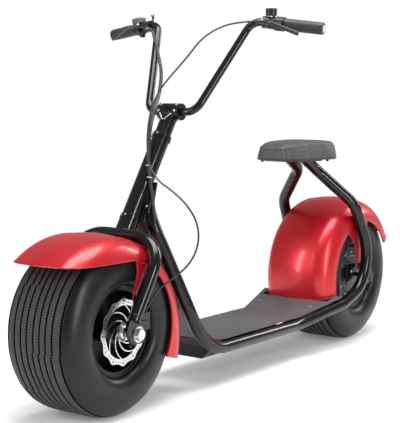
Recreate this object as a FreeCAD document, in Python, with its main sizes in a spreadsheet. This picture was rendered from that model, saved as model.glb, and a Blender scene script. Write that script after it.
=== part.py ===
# Fat-tyre electric scooter, in millimetres
# +X points forward, +Y to the rider's left and +Z up.
# The origin is on the ground, midway between the two axles.

import FreeCAD, Part
import math
import os
import Sketcher
from FreeCAD import Placement, Rotation, Vector
from types import SimpleNamespace

# Driving sizes: alias, value, meaning
SIZES = (
    ("wheelbase", 1290, "distance between the axles"),
    ("tyre_radius", 228, "18 inch tyre, outside"),
    ("tyre_width", 236, "widest at the sidewalls"),
    ("tread_width", 150, "flat part of the tread"),
    ("rim_radius", 112, "bead seat of the 8 inch rim"),
    ("rim_width", 180, "over the two flanges"),
    ("rim_lip", 7, "flange above the bead seat"),
    ("rim_wall", 5, "barrel and web of the rim"),
    ("hub_radius", 34, "front hub"),
    ("hub_width", 150, "front hub, end to end"),
    ("web_offset", 20, "rim web, left of the middle"),
    ("motor_radius", 92, "hub motor drum"),
    ("motor_width", 150, "hub motor drum, end to end"),
    ("axle_radius", 8, "both wheel axles"),
    ("axle_nut_radius", 14, "axle nuts, across corners"),
    ("axle_nut_length", 11, "axle nuts"),
    ("axle_gap", 0.3, "running clearance round an axle"),
    ("disc_radius", 90, "brake discs"),
    ("disc_thickness", 2.4, "brake discs"),
    ("disc_left", 104, "brake disc plane from the middle"),
    ("disc_carrier_radius", 24, "boss that carries the disc"),
    ("rake", 32.6, "steering axis from upright, in degrees"),
    ("axis_ahead", 20.8, "axis ahead of the axle at its height"),
    ("fork_radius", 17.5, "fork tube"),
    ("fork_half_width", 150, "fork legs from the middle"),
    ("fork_lead", 13, "fork legs ahead of the axis"),
    ("fork_arch_gap", 43, "arch middle above the tyre, along the axis"),
    ("fork_corner", 96, "bend radius of the arch"),
    ("dropout_thickness", 10, "plate at the foot of a leg"),
    ("dropout_radius", 24, "round the axle"),
    ("race_height", 29, "lower bearing race"),
    ("race_radius", 27, "lower bearing race"),
    ("steerer_radius", 15, "tube that turns in the head tube"),
    ("head_radius", 25, "head tube, outside"),
    ("head_bore", 17, "head tube, inside radius"),
    ("head_length", 274, "head tube"),
    ("turn_gap", 0.5, "between faces that turn on each other"),
    ("stem_radius", 23, "stem above the head tube"),
    ("stem_height", 78, "bar middle above the head tube"),
    ("clamp_radius", 24, "bar clamp"),
    ("clamp_width", 72, "bar clamp"),
    ("bar_radius", 11.1, "handlebar tube"),
    ("bar_lower_half", 82, "lower corner of the bar from the middle"),
    ("bar_half_width", 371, "end of the bar from the middle"),
    ("bar_end_run", 204, "end of the bar outside its upper corner"),
    ("bar_rise", 259, "upper corner above the clamp"),
    ("bar_sweep", 156, "upper corner behind the clamp"),
    ("bar_end_sweep", 40, "bar end behind the upper corner"),
    ("bar_end_drop", 25, "bar end below the upper corner"),
    ("bar_bend", 42, "bend radius of the bar"),
    ("grip_radius", 17.5, "grips"),
    ("grip_length", 112, "grips"),
    ("grip_wall", 4, "closed end of a grip"),
    ("fit_gap", 0.2, "between a sleeve and its tube"),
    ("switch_radius", 20, "switch and throttle clamps"),
    ("switch_width", 24, "switch and throttle clamps"),
    ("perch_radius", 17, "brake lever clamps"),
    ("perch_width", 24, "brake lever clamps"),
    ("lever_length", 112, "brake lever blade"),
    ("lever_radius", 5.5, "brake lever blade"),
    ("lever_reach", 50, "lever pivot ahead of the bar"),
    ("lever_drop", 22, "lever tip below its pivot"),
    ("barrel_radius", 5, "barrel that the brake cable leaves from"),
    ("barrel_length", 20, "barrel that the brake cable leaves from"),
    ("control_gap", 3, "between the controls on the bar"),
    ("bell_clamp_width", 11, "clamp of the bell"),
    ("bell_offset", 8, "bell inboard of its clamp"),
    ("bell_radius", 16, "bell"),
    ("bell_height", 20, "bell"),
    ("bell_post_radius", 4, "post of the bell"),
    ("rail_radius", 19, "frame rails"),
    ("rail_top_back", 213, "upper end of the rails behind the front axle"),
    ("rail_top_half", 14, "upper end of the rails from the middle"),
    ("rail_top_up", 578, "upper end of the rails above the ground"),
    ("rail_neck_back", 206, "rails below the head tube, behind the front axle"),
    ("rail_neck_half", 22, "rails below the head tube, from the middle"),
    ("rail_neck_up", 530, "rails below the head tube, above the ground"),
    ("rail_fork_back", 209, "rails behind the fork, behind the front axle"),
    ("rail_fork_half", 40, "rails behind the fork, from the middle"),
    ("rail_fork_up", 479, "rails behind the fork, above the ground"),
    ("rail_foot_back", 297, "rails at the front panel, behind the front axle"),
    ("rail_foot_half", 100, "rails at the front panel, from the middle"),
    ("rail_foot_up", 240, "rails at the front panel, above the ground"),
    ("rail_deck_back", 374, "corner of the rails ahead of the deck, behind the front axle"),
    ("rail_deck_half", 107, "rails under the deck, from the middle"),
    ("rail_deck_height", 111, "rails under the deck, above the ground"),
    ("rail_spread_ahead", 400, "rails start to spread, ahead of the rear axle"),
    ("rail_rise_ahead", 172, "rails start to rise, ahead of the rear axle"),
    ("rail_rise_half", 147, "rails where they rise, from the middle"),
    ("rail_rise_up", 152, "rails where they rise, above the ground"),
    ("rail_wheel_back", 41, "corner of the rails behind the rear axle"),
    ("rail_wheel_half", 158, "rails beside the rear wheel, from the middle"),
    ("rail_knee_ahead", 96, "knee of the rails ahead of the rear axle"),
    ("rail_knee_half", 140, "knee of the rails from the middle"),
    ("rail_knee_up", 482, "knee of the rails above the ground"),
    ("rail_seat_ahead", 175, "rails below the seat, ahead of the rear axle"),
    ("rail_seat_half", 35, "rails below the seat, from the middle"),
    ("rail_seat_drop", 37, "rails below the seat, under its foot"),
    ("rail_end_ahead", 255, "rear ends of the rails ahead of the rear axle"),
    ("rail_end_half", 30, "rear ends of the rails from the middle"),
    ("rail_end_rise", 8, "rear ends of the rails above the foot of the seat"),
    ("neck_bend", 100, "bends below the head tube"),
    ("leg_bend", 142, "bend at the front panel"),
    ("foot_bend", 179, "bend ahead of the deck"),
    ("spread_bend", 200, "bend where the rails spread"),
    ("rise_bend", 150, "bend where the rails rise"),
    ("rail_bend", 141, "bend round the rear wheel"),
    ("knee_bend", 90, "bend above the rear wheel"),
    ("seat_bend", 60, "bend below the seat"),
    ("weld_gap", 0.1, "between pieces that are welded"),
    ("gusset_width", 76, "web between head tube and rails"),
    ("deck_thickness", 5, "deck plate"),
    ("deck_top", 140, "top of the deck above the ground"),
    ("deck_front", 419, "front edge of the deck behind the front axle"),
    ("deck_half_front", 111, "half width of the deck"),
    ("deck_half_rear", 150, "half width of the deck by the fender"),
    ("deck_slope", 11.5, "rise of the rear deck, in degrees"),
    ("deck_bend", 383, "bend of the deck ahead of the rear axle"),
    ("deck_rear", 193, "rear edge of the deck ahead of the rear axle"),
    ("deck_notch", 57, "notch in the deck for the rear wheel"),
    ("deck_corner_length", 40, "cut front corners of the deck, along it"),
    ("deck_corner_width", 19, "cut front corners of the deck, across it"),
    ("crossbar_width", 36, "bars under the deck"),
    ("crossbar_height", 20, "bars under the deck"),
    ("battery_length", 414, "battery box"),
    ("battery_height", 38, "battery box"),
    ("battery_half", 86, "battery box from the middle"),
    ("panel_thickness", 4, "front panel between the rails"),
    ("panel_reach", 28, "foot of the front panel ahead of the deck"),
    ("battery_edge", 26, "cut lower edges of the battery box"),
    ("seat_length", 305, "seat cushion"),
    ("seat_width", 222, "seat cushion"),
    ("seat_height", 66, "seat cushion"),
    ("seat_bottom", 634, "underside of the seat above the ground"),
    ("seat_ahead", 267, "seat middle ahead of the rear axle"),
    ("seat_plate_thickness", 5, "plate under the seat"),
    ("seat_front_width", 104, "seat cushion at its front"),
    ("seat_front_drop", 12, "upper face of the cushion, lower in front"),
    ("seat_taper", 10, "upper face of the cushion inside its foot"),
    ("seat_corner", 78, "rear corners of the cushion, from above"),
    ("seat_front_corner", 48, "front corners of the cushion, from above"),
    ("seat_edge", 14, "upper edge of the cushion"),
    ("soft_gap", 0.3, "under pieces that rest on others"),
    ("fender_wall", 3, "both fenders"),
    ("fender_half_width", 127, "both fenders, outside"),
    ("fender_corner", 64, "shoulder radius of the fenders"),
    ("front_fender_dome", 12, "middle of the front fender above its shoulders"),
    ("rear_fender_dome", 20, "middle of the rear fender above its shoulders"),
    ("fender_dome_bend", 300, "radius across the middle of a fender"),
    ("fender_strut_half", 124.6, "struts of the fenders from the middle"),
    ("front_fender_crown", 295, "outside radius of the front fender"),
    ("front_fender_ahead", 30, "middle of the front fender ahead of the axle"),
    ("front_fender_below", 43, "middle of the front fender below the axle"),
    ("front_fender_skirt", 184, "opening in the sides of the front fender"),
    ("front_fender_rim", 414, "lower edge of the front fender ahead of its struts"),
    ("fender_depth", 110, "sides of a fender before they are cut"),
    ("rear_fender_crown", 266, "outside radius of the rear fender"),
    ("rear_fender_skirt", 190, "skirt edge of the rear fender"),
    ("axle_plate_thickness", 8, "plates that hold the rear axle"),
    ("axle_plate_half", 148, "plates that hold the rear axle, from the middle"),
    ("caliper_width", 26, "brake caliper across the disc"),
    ("caliper_length", 30, "brake caliper along the disc's radius"),
    ("caliper_height", 46, "brake caliper along the disc's edge"),
    ("caliper_wall", 5, "brake caliper outside the disc's edge"),
    ("caliper_gap", 2, "disc to caliper"),
    ("caliper_arm", 6, "plate between a caliper and its axle"),
    ("boss_radius", 7, "bosses that carry the fenders and calipers"),
    ("cable_radius", 2.5, "brake cables"),
    ("cable_gap", 1.1, "between a barrel and the tilted end of its cable"),
    ("loom_radius", 5, "cables wrapped together beside the head tube"),
)

doc = FreeCAD.newDocument("Scooter")
sheet = doc.addObject("Spreadsheet::Sheet", "Sizes")
for row, (alias, value, meaning) in enumerate(SIZES, start=1):
    sheet.set("A%d" % row, alias)
    sheet.set("B%d" % row, str(value))
    sheet.setAlias("B%d" % row, alias)
    sheet.set("C%d" % row, meaning)
doc.recompute()


class Length:
    """A size as a number and as the sheet expression that it comes from."""

    def __init__(self, number, text):
        self.number = float(number)
        self.text = text

    def __float__(self):
        return self.number

    def __add__(self, other):
        return Length(self.number + float(other), "%s + %s" % (self.text, text_of(other)))

    def __sub__(self, other):
        return Length(self.number - float(other), "%s - (%s)" % (self.text, text_of(other)))

    def __mul__(self, factor):
        return Length(self.number * factor, "(%s) * %s" % (self.text, factor))

    def __truediv__(self, divisor):
        return Length(self.number / divisor, "(%s) / %s" % (self.text, divisor))

    def __neg__(self):
        return Length(-self.number, "-(%s)" % self.text)


def text_of(value):
    """The expression text of a size or of a plain number."""
    return value.text if isinstance(value, Length) else repr(float(value))


s = SimpleNamespace(**{alias: Length(sheet.get(alias), "Sizes." + alias) for alias, _, _ in SIZES})
n = SimpleNamespace(**{alias: float(sheet.get(alias)) for alias, _, _ in SIZES})

UP = Vector(0, 0, 1)
LEFT = Vector(0, 1, 0)
SIDES = (("left", 1), ("right", -1))
PARTS = []


def named(item, label):
    """Give a finished piece its label and keep it for the end."""
    item.Label = label
    PARTS.append(item)
    return item


def bind(item, **sizes):
    """Tie properties of an object to the sheet."""
    for name, value in sizes.items():
        item.setExpression(name, text_of(value))


def cylinder(name, radius, height, base, direction):
    """A cylinder from its base along a direction."""
    item = doc.addObject("Part::Cylinder", name)
    bind(item, Radius=radius, Height=height)
    item.Placement = Placement(base, Rotation(UP, direction))
    return item


def cylinder_across(name, radius, width, middle):
    """A cylinder along Y, with its middle given."""
    return cylinder(name, radius, width, middle - LEFT * (float(width) / 2), LEFT)


def block(name, length, width, height, middle, turn=Rotation()):
    """A box about its middle."""
    item = doc.addObject("Part::Box", name)
    bind(item, Length=length, Width=width, Height=height)
    corner = Vector(float(length) / 2, float(width) / 2, float(height) / 2)
    item.Placement = Placement(middle - turn.multVec(corner), turn)
    return item


def solid(name, shape):
    """A piece whose shape comes from Part's own functions."""
    item = doc.addObject("Part::Feature", name)
    item.Shape = shape
    return item


def cut(name, base, *tools):
    """The base without the tools."""
    for number, tool in enumerate(tools, start=1):
        item = doc.addObject("Part::Cut", "%s%d" % (name, number))
        item.Base = base
        item.Tool = tool
        base = item
    return base


def fuse(name, *pieces):
    """Pieces joined into one."""
    item = doc.addObject("Part::MultiFuse", name)
    item.Shapes = list(pieces)
    item.Refine = True
    return item


def round_path(corners, bends):
    """A wire through corners, with a tangent arc of its own radius at each inner one."""
    edges = []
    start = corners[0]
    for before, corner, after, bend in zip(corners, corners[1:], corners[2:], bends):
        back = (before - corner).normalize()
        onward = (after - corner).normalize()
        half = back.getAngle(onward) / 2
        reach = bend / math.tan(half)
        first = corner + back * reach
        last = corner + onward * reach
        middle = corner + (back + onward).normalize() * (bend / math.sin(half) - bend)
        edges.append(Part.LineSegment(start, first).toShape())
        edges.append(Part.Arc(first, middle, last).toShape())
        start = last
    edges.append(Part.LineSegment(start, corners[-1]).toShape())
    return Part.Wire(edges)


def tube(wire, radius):
    """A round bar along a wire."""
    first = wire.OrderedEdges[0]
    start = first.valueAt(first.FirstParameter)
    heading = first.tangentAt(first.FirstParameter)
    ring = Part.Wire([Part.Circle(start, heading, radius).toShape()])
    return wire.makePipeShell([ring], True, False)


def sketch_outline(body, name, plane_role, outline):
    """A closed outline of straight lines on a plane of the body, each corner bound to the sheet."""
    sketch = body.newObject("Sketcher::SketchObject", name)
    plane = [item for item in body.Origin.OriginFeatures if item.Role == plane_role][0]
    sketch.AttachmentSupport = (plane, [""])
    sketch.MapMode = "FlatFace"
    points = [Vector(float(across), float(along), 0) for across, along in outline]
    for number, point in enumerate(points):
        following = points[(number + 1) % len(points)]
        sketch.addGeometry(Part.LineSegment(point, following))
    for number in range(len(points)):
        following = (number + 1) % len(points)
        sketch.addConstraint(Sketcher.Constraint("Coincident", number, 2, following, 1))
    for number, (across, along) in enumerate(outline):
        for kind, value in (("DistanceX", across), ("DistanceY", along)):
            rule = Sketcher.Constraint(kind, -1, 1, number, 1, float(value))
            index = sketch.addConstraint(rule)
            sketch.setExpression("Constraints[%d]" % index, text_of(value))
    return sketch


def turned(name, label, middle, outline):
    """A body turned about Y from an outline of (left, radius) corners."""
    body = doc.addObject("PartDesign::Body", name)
    sketch = sketch_outline(body, name + "Outline", "YZ_Plane", outline)
    turn = body.newObject("PartDesign::Revolution", name + "Turn")
    turn.Profile = sketch
    turn.ReferenceAxis = (sketch, ["H_Axis"])
    turn.Angle = 360
    body.Tip = turn
    body.Placement = Placement(middle, Rotation())
    return named(body, label)


def plate(name, plane_role, outline, thickness, base, midplane=False):
    """A body padded from an outline by its thickness, in front of the plane or on both sides."""
    body = doc.addObject("PartDesign::Body", name)
    sketch = sketch_outline(body, name + "Outline", plane_role, outline)
    pad = body.newObject("PartDesign::Pad", name + "Pad")
    pad.Profile = sketch
    pad.Midplane = midplane
    pad.setExpression("Length", text_of(thickness))
    body.Tip = pad
    body.Placement = Placement(base, Rotation())
    return body


def mirrored_outline(half):
    """An outline of (left, radius) corners from its left half, run back on the right."""
    return half + [(-left, radius) for left, radius in reversed(half)]


# Wheel middles and the steering axis
front_axle = Vector(n.wheelbase / 2, 0, n.tyre_radius)
rear_axle = Vector(-n.wheelbase / 2, 0, n.tyre_radius)
rake = math.radians(n.rake)
steer_up = Vector(-math.sin(rake), 0, math.cos(rake))
steer_ahead = Vector(math.cos(rake), 0, math.sin(rake))
steer_foot = front_axle + Vector(n.axis_ahead, 0, 0)


def on_steering(along, ahead=0, left=0):
    """A point given along the steering axis, ahead of it and to its left."""
    return steer_foot + steer_up * along + steer_ahead * ahead + LEFT * left


arch_along = n.tyre_radius + n.fork_arch_gap
race_along = arch_along + n.fork_radius
head_along = race_along + n.race_height + n.turn_gap
stem_along = head_along + n.head_length + n.turn_gap
clamp_along = head_along + n.head_length + n.stem_height

# Wheels
BEAD = s.rim_width / 2 - s.rim_wall
TYRE_HALF = [
    (BEAD, s.rim_radius),
    (BEAD, s.rim_radius + s.rim_lip),
    (s.tyre_width / 2 - 14, s.rim_radius + 9),
    (s.tyre_width / 2 - 3, s.rim_radius + 24),
    (s.tyre_width / 2, s.rim_radius + 44),
    (s.tyre_width / 2 - 2, s.tyre_radius - 48),
    (s.tyre_width / 2 - 10, s.tyre_radius - 26),
    (s.tyre_width / 2 - 24, s.tyre_radius - 10),
    (s.tread_width / 2, s.tyre_radius),
]


def wheel_rim(name, label, middle, web_left, hub_radius, hub_width):
    """A rim with its flanges, barrel, web and hub."""
    half = s.rim_width / 2
    barrel = s.rim_radius - s.rim_wall
    bore = s.axle_radius + s.axle_gap
    outline = [
        (half, s.rim_radius + s.rim_lip),
        (BEAD, s.rim_radius + s.rim_lip),
        (BEAD, s.rim_radius),
        (-BEAD, s.rim_radius),
        (-BEAD, s.rim_radius + s.rim_lip),
        (-half, s.rim_radius + s.rim_lip),
        (-half, barrel),
        (web_left - s.rim_wall, barrel),
        (web_left - s.rim_wall, hub_radius),
        (-(hub_width / 2), hub_radius),
        (-(hub_width / 2), bore),
        (hub_width / 2, bore),
        (hub_width / 2, hub_radius),
        (web_left + s.rim_wall, hub_radius),
        (web_left + s.rim_wall, barrel),
        (half, barrel),
    ]
    return turned(name, label, middle, outline)


def brake_disc(name, label, middle, side, hub_end):
    """A disc with the boss that carries it on the end of the hub."""
    bore = s.axle_radius + s.axle_gap
    outline = [
        (s.disc_left - s.disc_thickness / 2, s.disc_radius),
        (s.disc_left + s.disc_thickness / 2, s.disc_radius),
        (s.disc_left + s.disc_thickness / 2, bore),
        (hub_end, bore),
        (hub_end, s.disc_carrier_radius),
        (s.disc_left - s.disc_thickness / 2, s.disc_carrier_radius),
    ]
    if side < 0:
        outline = [(-left, radius) for left, radius in outline]
    return turned(name, label, middle, outline)


turned("FrontTyre", "front_tyre", front_axle, mirrored_outline(TYRE_HALF))
turned("RearTyre", "rear_tyre", rear_axle, mirrored_outline(TYRE_HALF))
wheel_rim("FrontRim", "front_rim", front_axle, s.web_offset, s.hub_radius, s.hub_width)
wheel_rim("RearRim", "rear_hub_motor", rear_axle, s.web_offset * 0, s.motor_radius, s.motor_width)
brake_disc("FrontDisc", "front_disc", front_axle, 1, s.hub_width / 2)
brake_disc("RearDisc", "rear_disc", rear_axle, -1, s.motor_width / 2)

# Fork with its arch, legs, dropouts and steerer
leg_foot_along = 34
leg_ends = [on_steering(leg_foot_along, n.fork_lead, side * n.fork_half_width) for _, side in SIDES]
arch_corners = [on_steering(arch_along, n.fork_lead, side * n.fork_half_width) for _, side in SIDES]
fork_wire = round_path(
    [leg_ends[0], arch_corners[0], arch_corners[1], leg_ends[1]], [n.fork_corner, n.fork_corner]
)
fork_tube = solid("ForkTube", tube(fork_wire, n.fork_radius))
steerer_start = on_steering(arch_along)
steerer_length = s.fork_radius + s.race_height + s.head_length + s.turn_gap * 2
steerer = cylinder("Steerer", s.steerer_radius, steerer_length, steerer_start, steer_up)
race = cylinder("Race", s.race_radius, s.fork_radius + s.race_height, steerer_start, steer_up)


def dropout(name, side):
    """The plate at the foot of a leg, with the hole for the axle."""
    outline = [
        (-s.dropout_radius, -s.dropout_radius),
        (s.dropout_radius, -s.dropout_radius),
        (s.dropout_radius + 22, s.dropout_radius * 0.6),
        (s.dropout_radius + 12, s.dropout_radius * 1.6),
        (s.dropout_radius * 0.2, s.dropout_radius * 2.2),
        (-s.dropout_radius, s.dropout_radius),
    ]
    base = front_axle + LEFT * (side * n.fork_half_width)
    body = plate(name, "XZ_Plane", outline, s.dropout_thickness, base, True)
    hole_radius = s.axle_radius + s.fit_gap
    hole = cylinder_across(name + "Hole", hole_radius, s.dropout_thickness * 3, base)
    return cut(name + "Drilled", body, hole)


def boss(name, middle, side, inside, outside):
    """A round boss across the vehicle, between two distances from the middle."""
    start = middle + LEFT * (side * inside)
    return cylinder(name, s.boss_radius, Length(outside - inside, repr(outside - inside)), start, LEFT * side)


dropouts = [dropout("Dropout" + word.title(), side) for word, side in SIDES]
strut_foot = front_axle + Vector(-26, 0, 88)
fender_outside = n.fender_strut_half + n.fender_wall / 2 + n.soft_gap
strut_bosses = [
    boss("StrutBoss" + word.title(), strut_foot, side, fender_outside, n.fork_half_width)
    for word, side in SIDES
]
front_middle = front_axle + Vector(n.front_fender_ahead, 0, -n.front_fender_below)
arch_middle = on_steering(arch_along, n.fork_lead)
crown_reach = (arch_middle - front_middle).Length - n.front_fender_crown - n.soft_gap
crown_length = Length(crown_reach, repr(crown_reach))
crown_boss = cylinder("CrownBoss", s.boss_radius, crown_length, arch_middle, front_middle - arch_middle)
named(fuse("Fork", fork_tube, steerer, race, crown_boss, *dropouts, *strut_bosses), "fork")

# Stem and handlebar
stem_tube_height = s.stem_height - s.turn_gap
stem_tube = cylinder("StemTube", s.stem_radius, stem_tube_height, on_steering(stem_along), steer_up)
clamp_middle = on_steering(clamp_along)
clamp = cylinder_across("ClampBarrel", s.clamp_radius, s.clamp_width, clamp_middle)
clamp_bore = cylinder_across("ClampBore", s.bar_radius + s.fit_gap, s.clamp_width * 2, clamp_middle)
steerer_top = cylinder(
    "StemFoot", s.steerer_radius + s.fit_gap, s.stem_radius, on_steering(stem_along - 5), steer_up
)
named(cut("Stem", fuse("StemSolid", stem_tube, clamp), clamp_bore, steerer_top), "stem")

BAR_CORNERS = (
    # forward, left and up from the clamp, for the left half
    (-n.bar_sweep - n.bar_end_sweep, n.bar_half_width, n.bar_rise - n.bar_end_drop),
    (-n.bar_sweep, n.bar_half_width - n.bar_end_run, n.bar_rise),
    (0, n.bar_lower_half, 0),
)


def bar_point(forward, left, up):
    """A point on the handlebar from the middle of its clamp."""
    return clamp_middle + Vector(forward, left, up)


left_half = [bar_point(*corner) for corner in BAR_CORNERS]
right_half = [bar_point(forward, -left, up) for forward, left, up in reversed(BAR_CORNERS)]
bar_wire = round_path(left_half + right_half, [n.bar_bend] * 4)
named(solid("Bar", tube(bar_wire, n.bar_radius)), "handlebar")


def bar_end_frame(side):
    """The end of the bar and the direction from there towards the middle."""
    end = bar_point(BAR_CORNERS[0][0], side * BAR_CORNERS[0][1], BAR_CORNERS[0][2])
    corner = bar_point(BAR_CORNERS[1][0], side * BAR_CORNERS[1][1], BAR_CORNERS[1][2])
    return end, (corner - end).normalize()


def bar_sleeve(name, side, inboard, width, radius):
    """A ring on the straight end of the bar, inboard of its end."""
    end, inward = bar_end_frame(side)
    start = end + inward * inboard
    ring = cylinder(name + "Ring", radius, width, start, inward)
    bore = cylinder(
        name + "Bore", s.bar_radius + s.fit_gap, width * 3, start - inward * float(width), inward
    )
    return cut(name, ring, bore)


def grip(word, side):
    """A grip with its closed end, which stops against the end of the bar."""
    end, inward = bar_end_frame(side)
    name = "Grip" + word.title()
    start = end - inward * n.grip_wall
    body = cylinder(name + "Body", s.grip_radius, s.grip_length, start, inward)
    bore = cylinder(name + "Bore", s.bar_radius + s.fit_gap, s.grip_length, end, inward)
    named(cut(name, body, bore), word + "_grip")


for word, side in SIDES:
    grip(word, side)
    switch = bar_sleeve("Switch" + word.title(), side, n.grip_length, s.switch_width, s.switch_radius)
    named(switch, word + "_switch")


def brake_lever(word, side):
    """A lever clamp on the bar with its blade, which lies ahead of the grip."""
    name = "Lever" + word.title()
    inboard = n.grip_length + n.switch_width + n.bell_clamp_width + n.control_gap * 2
    ring = bar_sleeve(name + "Clamp", side, inboard, s.perch_width, s.perch_radius)
    end, inward = bar_end_frame(side)
    middle = end + inward * (inboard + n.perch_width / 2)
    ahead = Vector(1, 0, 0) - inward * inward.x
    ahead.normalize()
    root = middle + ahead * (n.perch_radius - 2)
    pivot = middle + ahead * n.lever_reach
    elbow = pivot - inward * (n.lever_length * 0.3) + ahead * 12
    tip = pivot - inward * n.lever_length - Vector(0, 0, n.lever_drop)
    wire = round_path([root, pivot, elbow, tip], [12, 30])
    blade = solid(name + "Blade", tube(wire, n.lever_radius))
    barrel_start = middle + ahead * (n.lever_reach * 0.7)
    barrel = cylinder(name + "Barrel", s.barrel_radius, s.barrel_length, barrel_start, inward)
    named(fuse(name, ring, blade, barrel), word + "_brake_lever")
    return barrel_start + inward * (n.barrel_length + n.cable_gap)


left_cable_start, right_cable_start = [brake_lever(word, side) for word, side in SIDES]

# Bell on the left, standing on its own clamp
bell_inboard = n.grip_length + n.switch_width + n.control_gap
bell_clamp = bar_sleeve("BellClamp", 1, bell_inboard, s.bell_clamp_width, s.perch_radius)
left_end, left_inward = bar_end_frame(1)
bell_middle = left_end + left_inward * (bell_inboard + n.bell_clamp_width / 2)
bell_base = bell_middle + UP * (n.perch_radius + n.control_gap)
bell_post_height = s.perch_radius + s.control_gap * 2 - s.bar_radius - s.fit_gap * 5
bell_post_base = bell_middle + UP * (n.bar_radius + n.fit_gap * 5)
bell_post = cylinder("BellPost", s.bell_post_radius, bell_post_height, bell_post_base, UP)
bell_dome_base = bell_base + left_inward * n.bell_offset
bell_dome = cylinder("BellDome", s.bell_radius, s.bell_height, bell_dome_base, UP)
named(fuse("Bell", bell_clamp, bell_post, bell_dome), "bell")


def wheel_axle(name, label, middle, half_width):
    """An axle through its two plates, with a nut outside each."""
    rod = cylinder_across(name + "Rod", s.axle_radius, (half_width + s.axle_nut_length) * 2, middle)
    nuts = []
    for word, side in SIDES:
        start = middle + LEFT * (side * float(half_width))
        nut_name = name + "Nut" + word.title()
        nuts.append(cylinder(nut_name, s.axle_nut_radius, s.axle_nut_length, start, LEFT * side))
    named(fuse(name, rod, *nuts), label)


wheel_axle("FrontAxle", "front_axle", front_axle, s.fork_half_width + s.dropout_thickness / 2)
REAR_PLATE_OUTSIDE = s.axle_plate_half + s.axle_plate_thickness / 2
wheel_axle("RearAxle", "rear_axle", rear_axle, REAR_PLATE_OUTSIDE)

# Head tube and the two rails
head_outside = cylinder("HeadOutside", s.head_radius, s.head_length, on_steering(head_along), steer_up)
head_inside = cylinder(
    "HeadInside", s.head_bore, s.head_length * 2, on_steering(head_along - n.head_length / 2), steer_up
)
named(cut("Head", head_outside, head_inside), "head_tube")


def rail_corners(side):
    """Corners of a rail from the head tube to the seat, and the bends between."""
    front = front_axle.x
    rear = rear_axle.x
    corners = [
        ((front - n.rail_top_back, n.rail_top_half, n.rail_top_up), 0),
        ((front - n.rail_neck_back, n.rail_neck_half, n.rail_neck_up), n.neck_bend),
        ((front - n.rail_fork_back, n.rail_fork_half, n.rail_fork_up), n.neck_bend),
        ((front - n.rail_foot_back, n.rail_foot_half, n.rail_foot_up), n.leg_bend),
        ((front - n.rail_deck_back, n.rail_deck_half, n.rail_deck_height), n.foot_bend),
        ((rear + n.rail_spread_ahead, n.rail_deck_half, n.rail_deck_height), n.spread_bend),
        ((rear + n.rail_rise_ahead, n.rail_rise_half, n.rail_rise_up), n.rise_bend),
        ((rear - n.rail_wheel_back, n.rail_wheel_half, n.tyre_radius), n.rail_bend),
        ((rear + n.rail_knee_ahead, n.rail_knee_half, n.rail_knee_up), n.knee_bend),
        ((rear + n.rail_seat_ahead, n.rail_seat_half, n.seat_bottom - n.rail_seat_drop), n.seat_bend),
        ((rear + n.rail_end_ahead, n.rail_end_half, n.seat_bottom + n.rail_end_rise), 0),
    ]
    places = [Vector(forward, side * left, up) for (forward, left, up), _ in corners]
    return places, [bend for _, bend in corners[1:-1]]


seat_middle = Vector(rear_axle.x + n.seat_ahead, 0, n.seat_bottom)
above_rails = block("AboveRails", s.seat_length, s.seat_width, s.seat_height,
                    seat_middle + UP * (n.seat_height / 2 - n.seat_plate_thickness))
rails = []
for word, side in SIDES:
    rail_tube = solid("Rail" + word.title(), tube(round_path(*rail_corners(side)), n.rail_radius))
    across = Vector(0, -side * (n.wheelbase / 2 - n.weld_gap / 2), n.wheelbase / 2)
    other_half = block("Half" + word.title(), s.wheelbase * 2, s.wheelbase, s.wheelbase, across)
    head_foot = on_steering(head_along)
    space_radius = s.head_radius + s.weld_gap
    head_space = cylinder("HeadSpace" + word.title(), space_radius, s.head_length, head_foot, steer_up)
    trimmed = cut("RailCut" + word.title(), rail_tube, above_rails, other_half, head_space)
    rails.append(named(trimmed, word + "_rail"))


def between_rails(name, label, piece, *others):
    """A piece trimmed where it meets the rails."""
    return named(cut(name, piece, *rails, *others), label)


gusset_points = [
    on_steering(head_along + 12, -10),
    on_steering(head_along + 130, -10),
    Vector(front_axle.x - n.rail_fork_back, 0, n.rail_neck_up - 10),
    Vector(front_axle.x - n.rail_fork_back - 12, 0, n.rail_fork_up - 41),
]
gusset_outline = [(point.x, point.z) for point in gusset_points]
gusset = plate("GussetPlate", "XZ_Plane", gusset_outline, s.gusset_width, Vector(0, 0, 0), True)
neck_gusset = between_rails("Gusset", "neck_gusset", gusset, head_outside)

# Deck on its bars, with the battery box below it and the panel ahead of it
deck_front_x = s.wheelbase / 2 - s.deck_front
deck_bend_x = -(s.wheelbase / 2) + s.deck_bend
deck_rear_x = -(s.wheelbase / 2) + s.deck_rear
deck_notch_x = deck_rear_x + s.deck_notch
deck_rise = math.tan(math.radians(n.deck_slope))
deck_rear_up = s.deck_top + (s.deck_bend - s.deck_rear) * deck_rise
side_outline = [
    (deck_front_x, s.deck_top - s.deck_thickness),
    (deck_front_x, s.deck_top),
    (deck_bend_x, s.deck_top),
    (deck_rear_x, deck_rear_up),
    (deck_rear_x, deck_rear_up - s.deck_thickness),
    (deck_bend_x, s.deck_top - s.deck_thickness),
]
plan_outline = [
    (deck_front_x, s.deck_half_front - s.deck_corner_width),
    (deck_front_x - s.deck_corner_length, s.deck_half_front),
    (deck_bend_x, s.deck_half_front),
    (deck_rear_x, s.deck_half_rear),
    (deck_rear_x, s.fender_half_width),
    (deck_notch_x, s.fender_half_width),
    (deck_notch_x, -s.fender_half_width),
    (deck_rear_x, -s.fender_half_width),
    (deck_rear_x, -s.deck_half_rear),
    (deck_bend_x, -s.deck_half_front),
    (deck_front_x - s.deck_corner_length, -s.deck_half_front),
    (deck_front_x, s.deck_corner_width - s.deck_half_front),
]
deck_side = plate("DeckSide", "XZ_Plane", side_outline, s.deck_half_rear * 3, Vector(0, 0, 0), True)
deck_plan = plate("DeckPlan", "XY_Plane", plan_outline, s.deck_top * 3, Vector(0, 0, 0))
deck = doc.addObject("Part::Common", "Deck")
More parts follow.
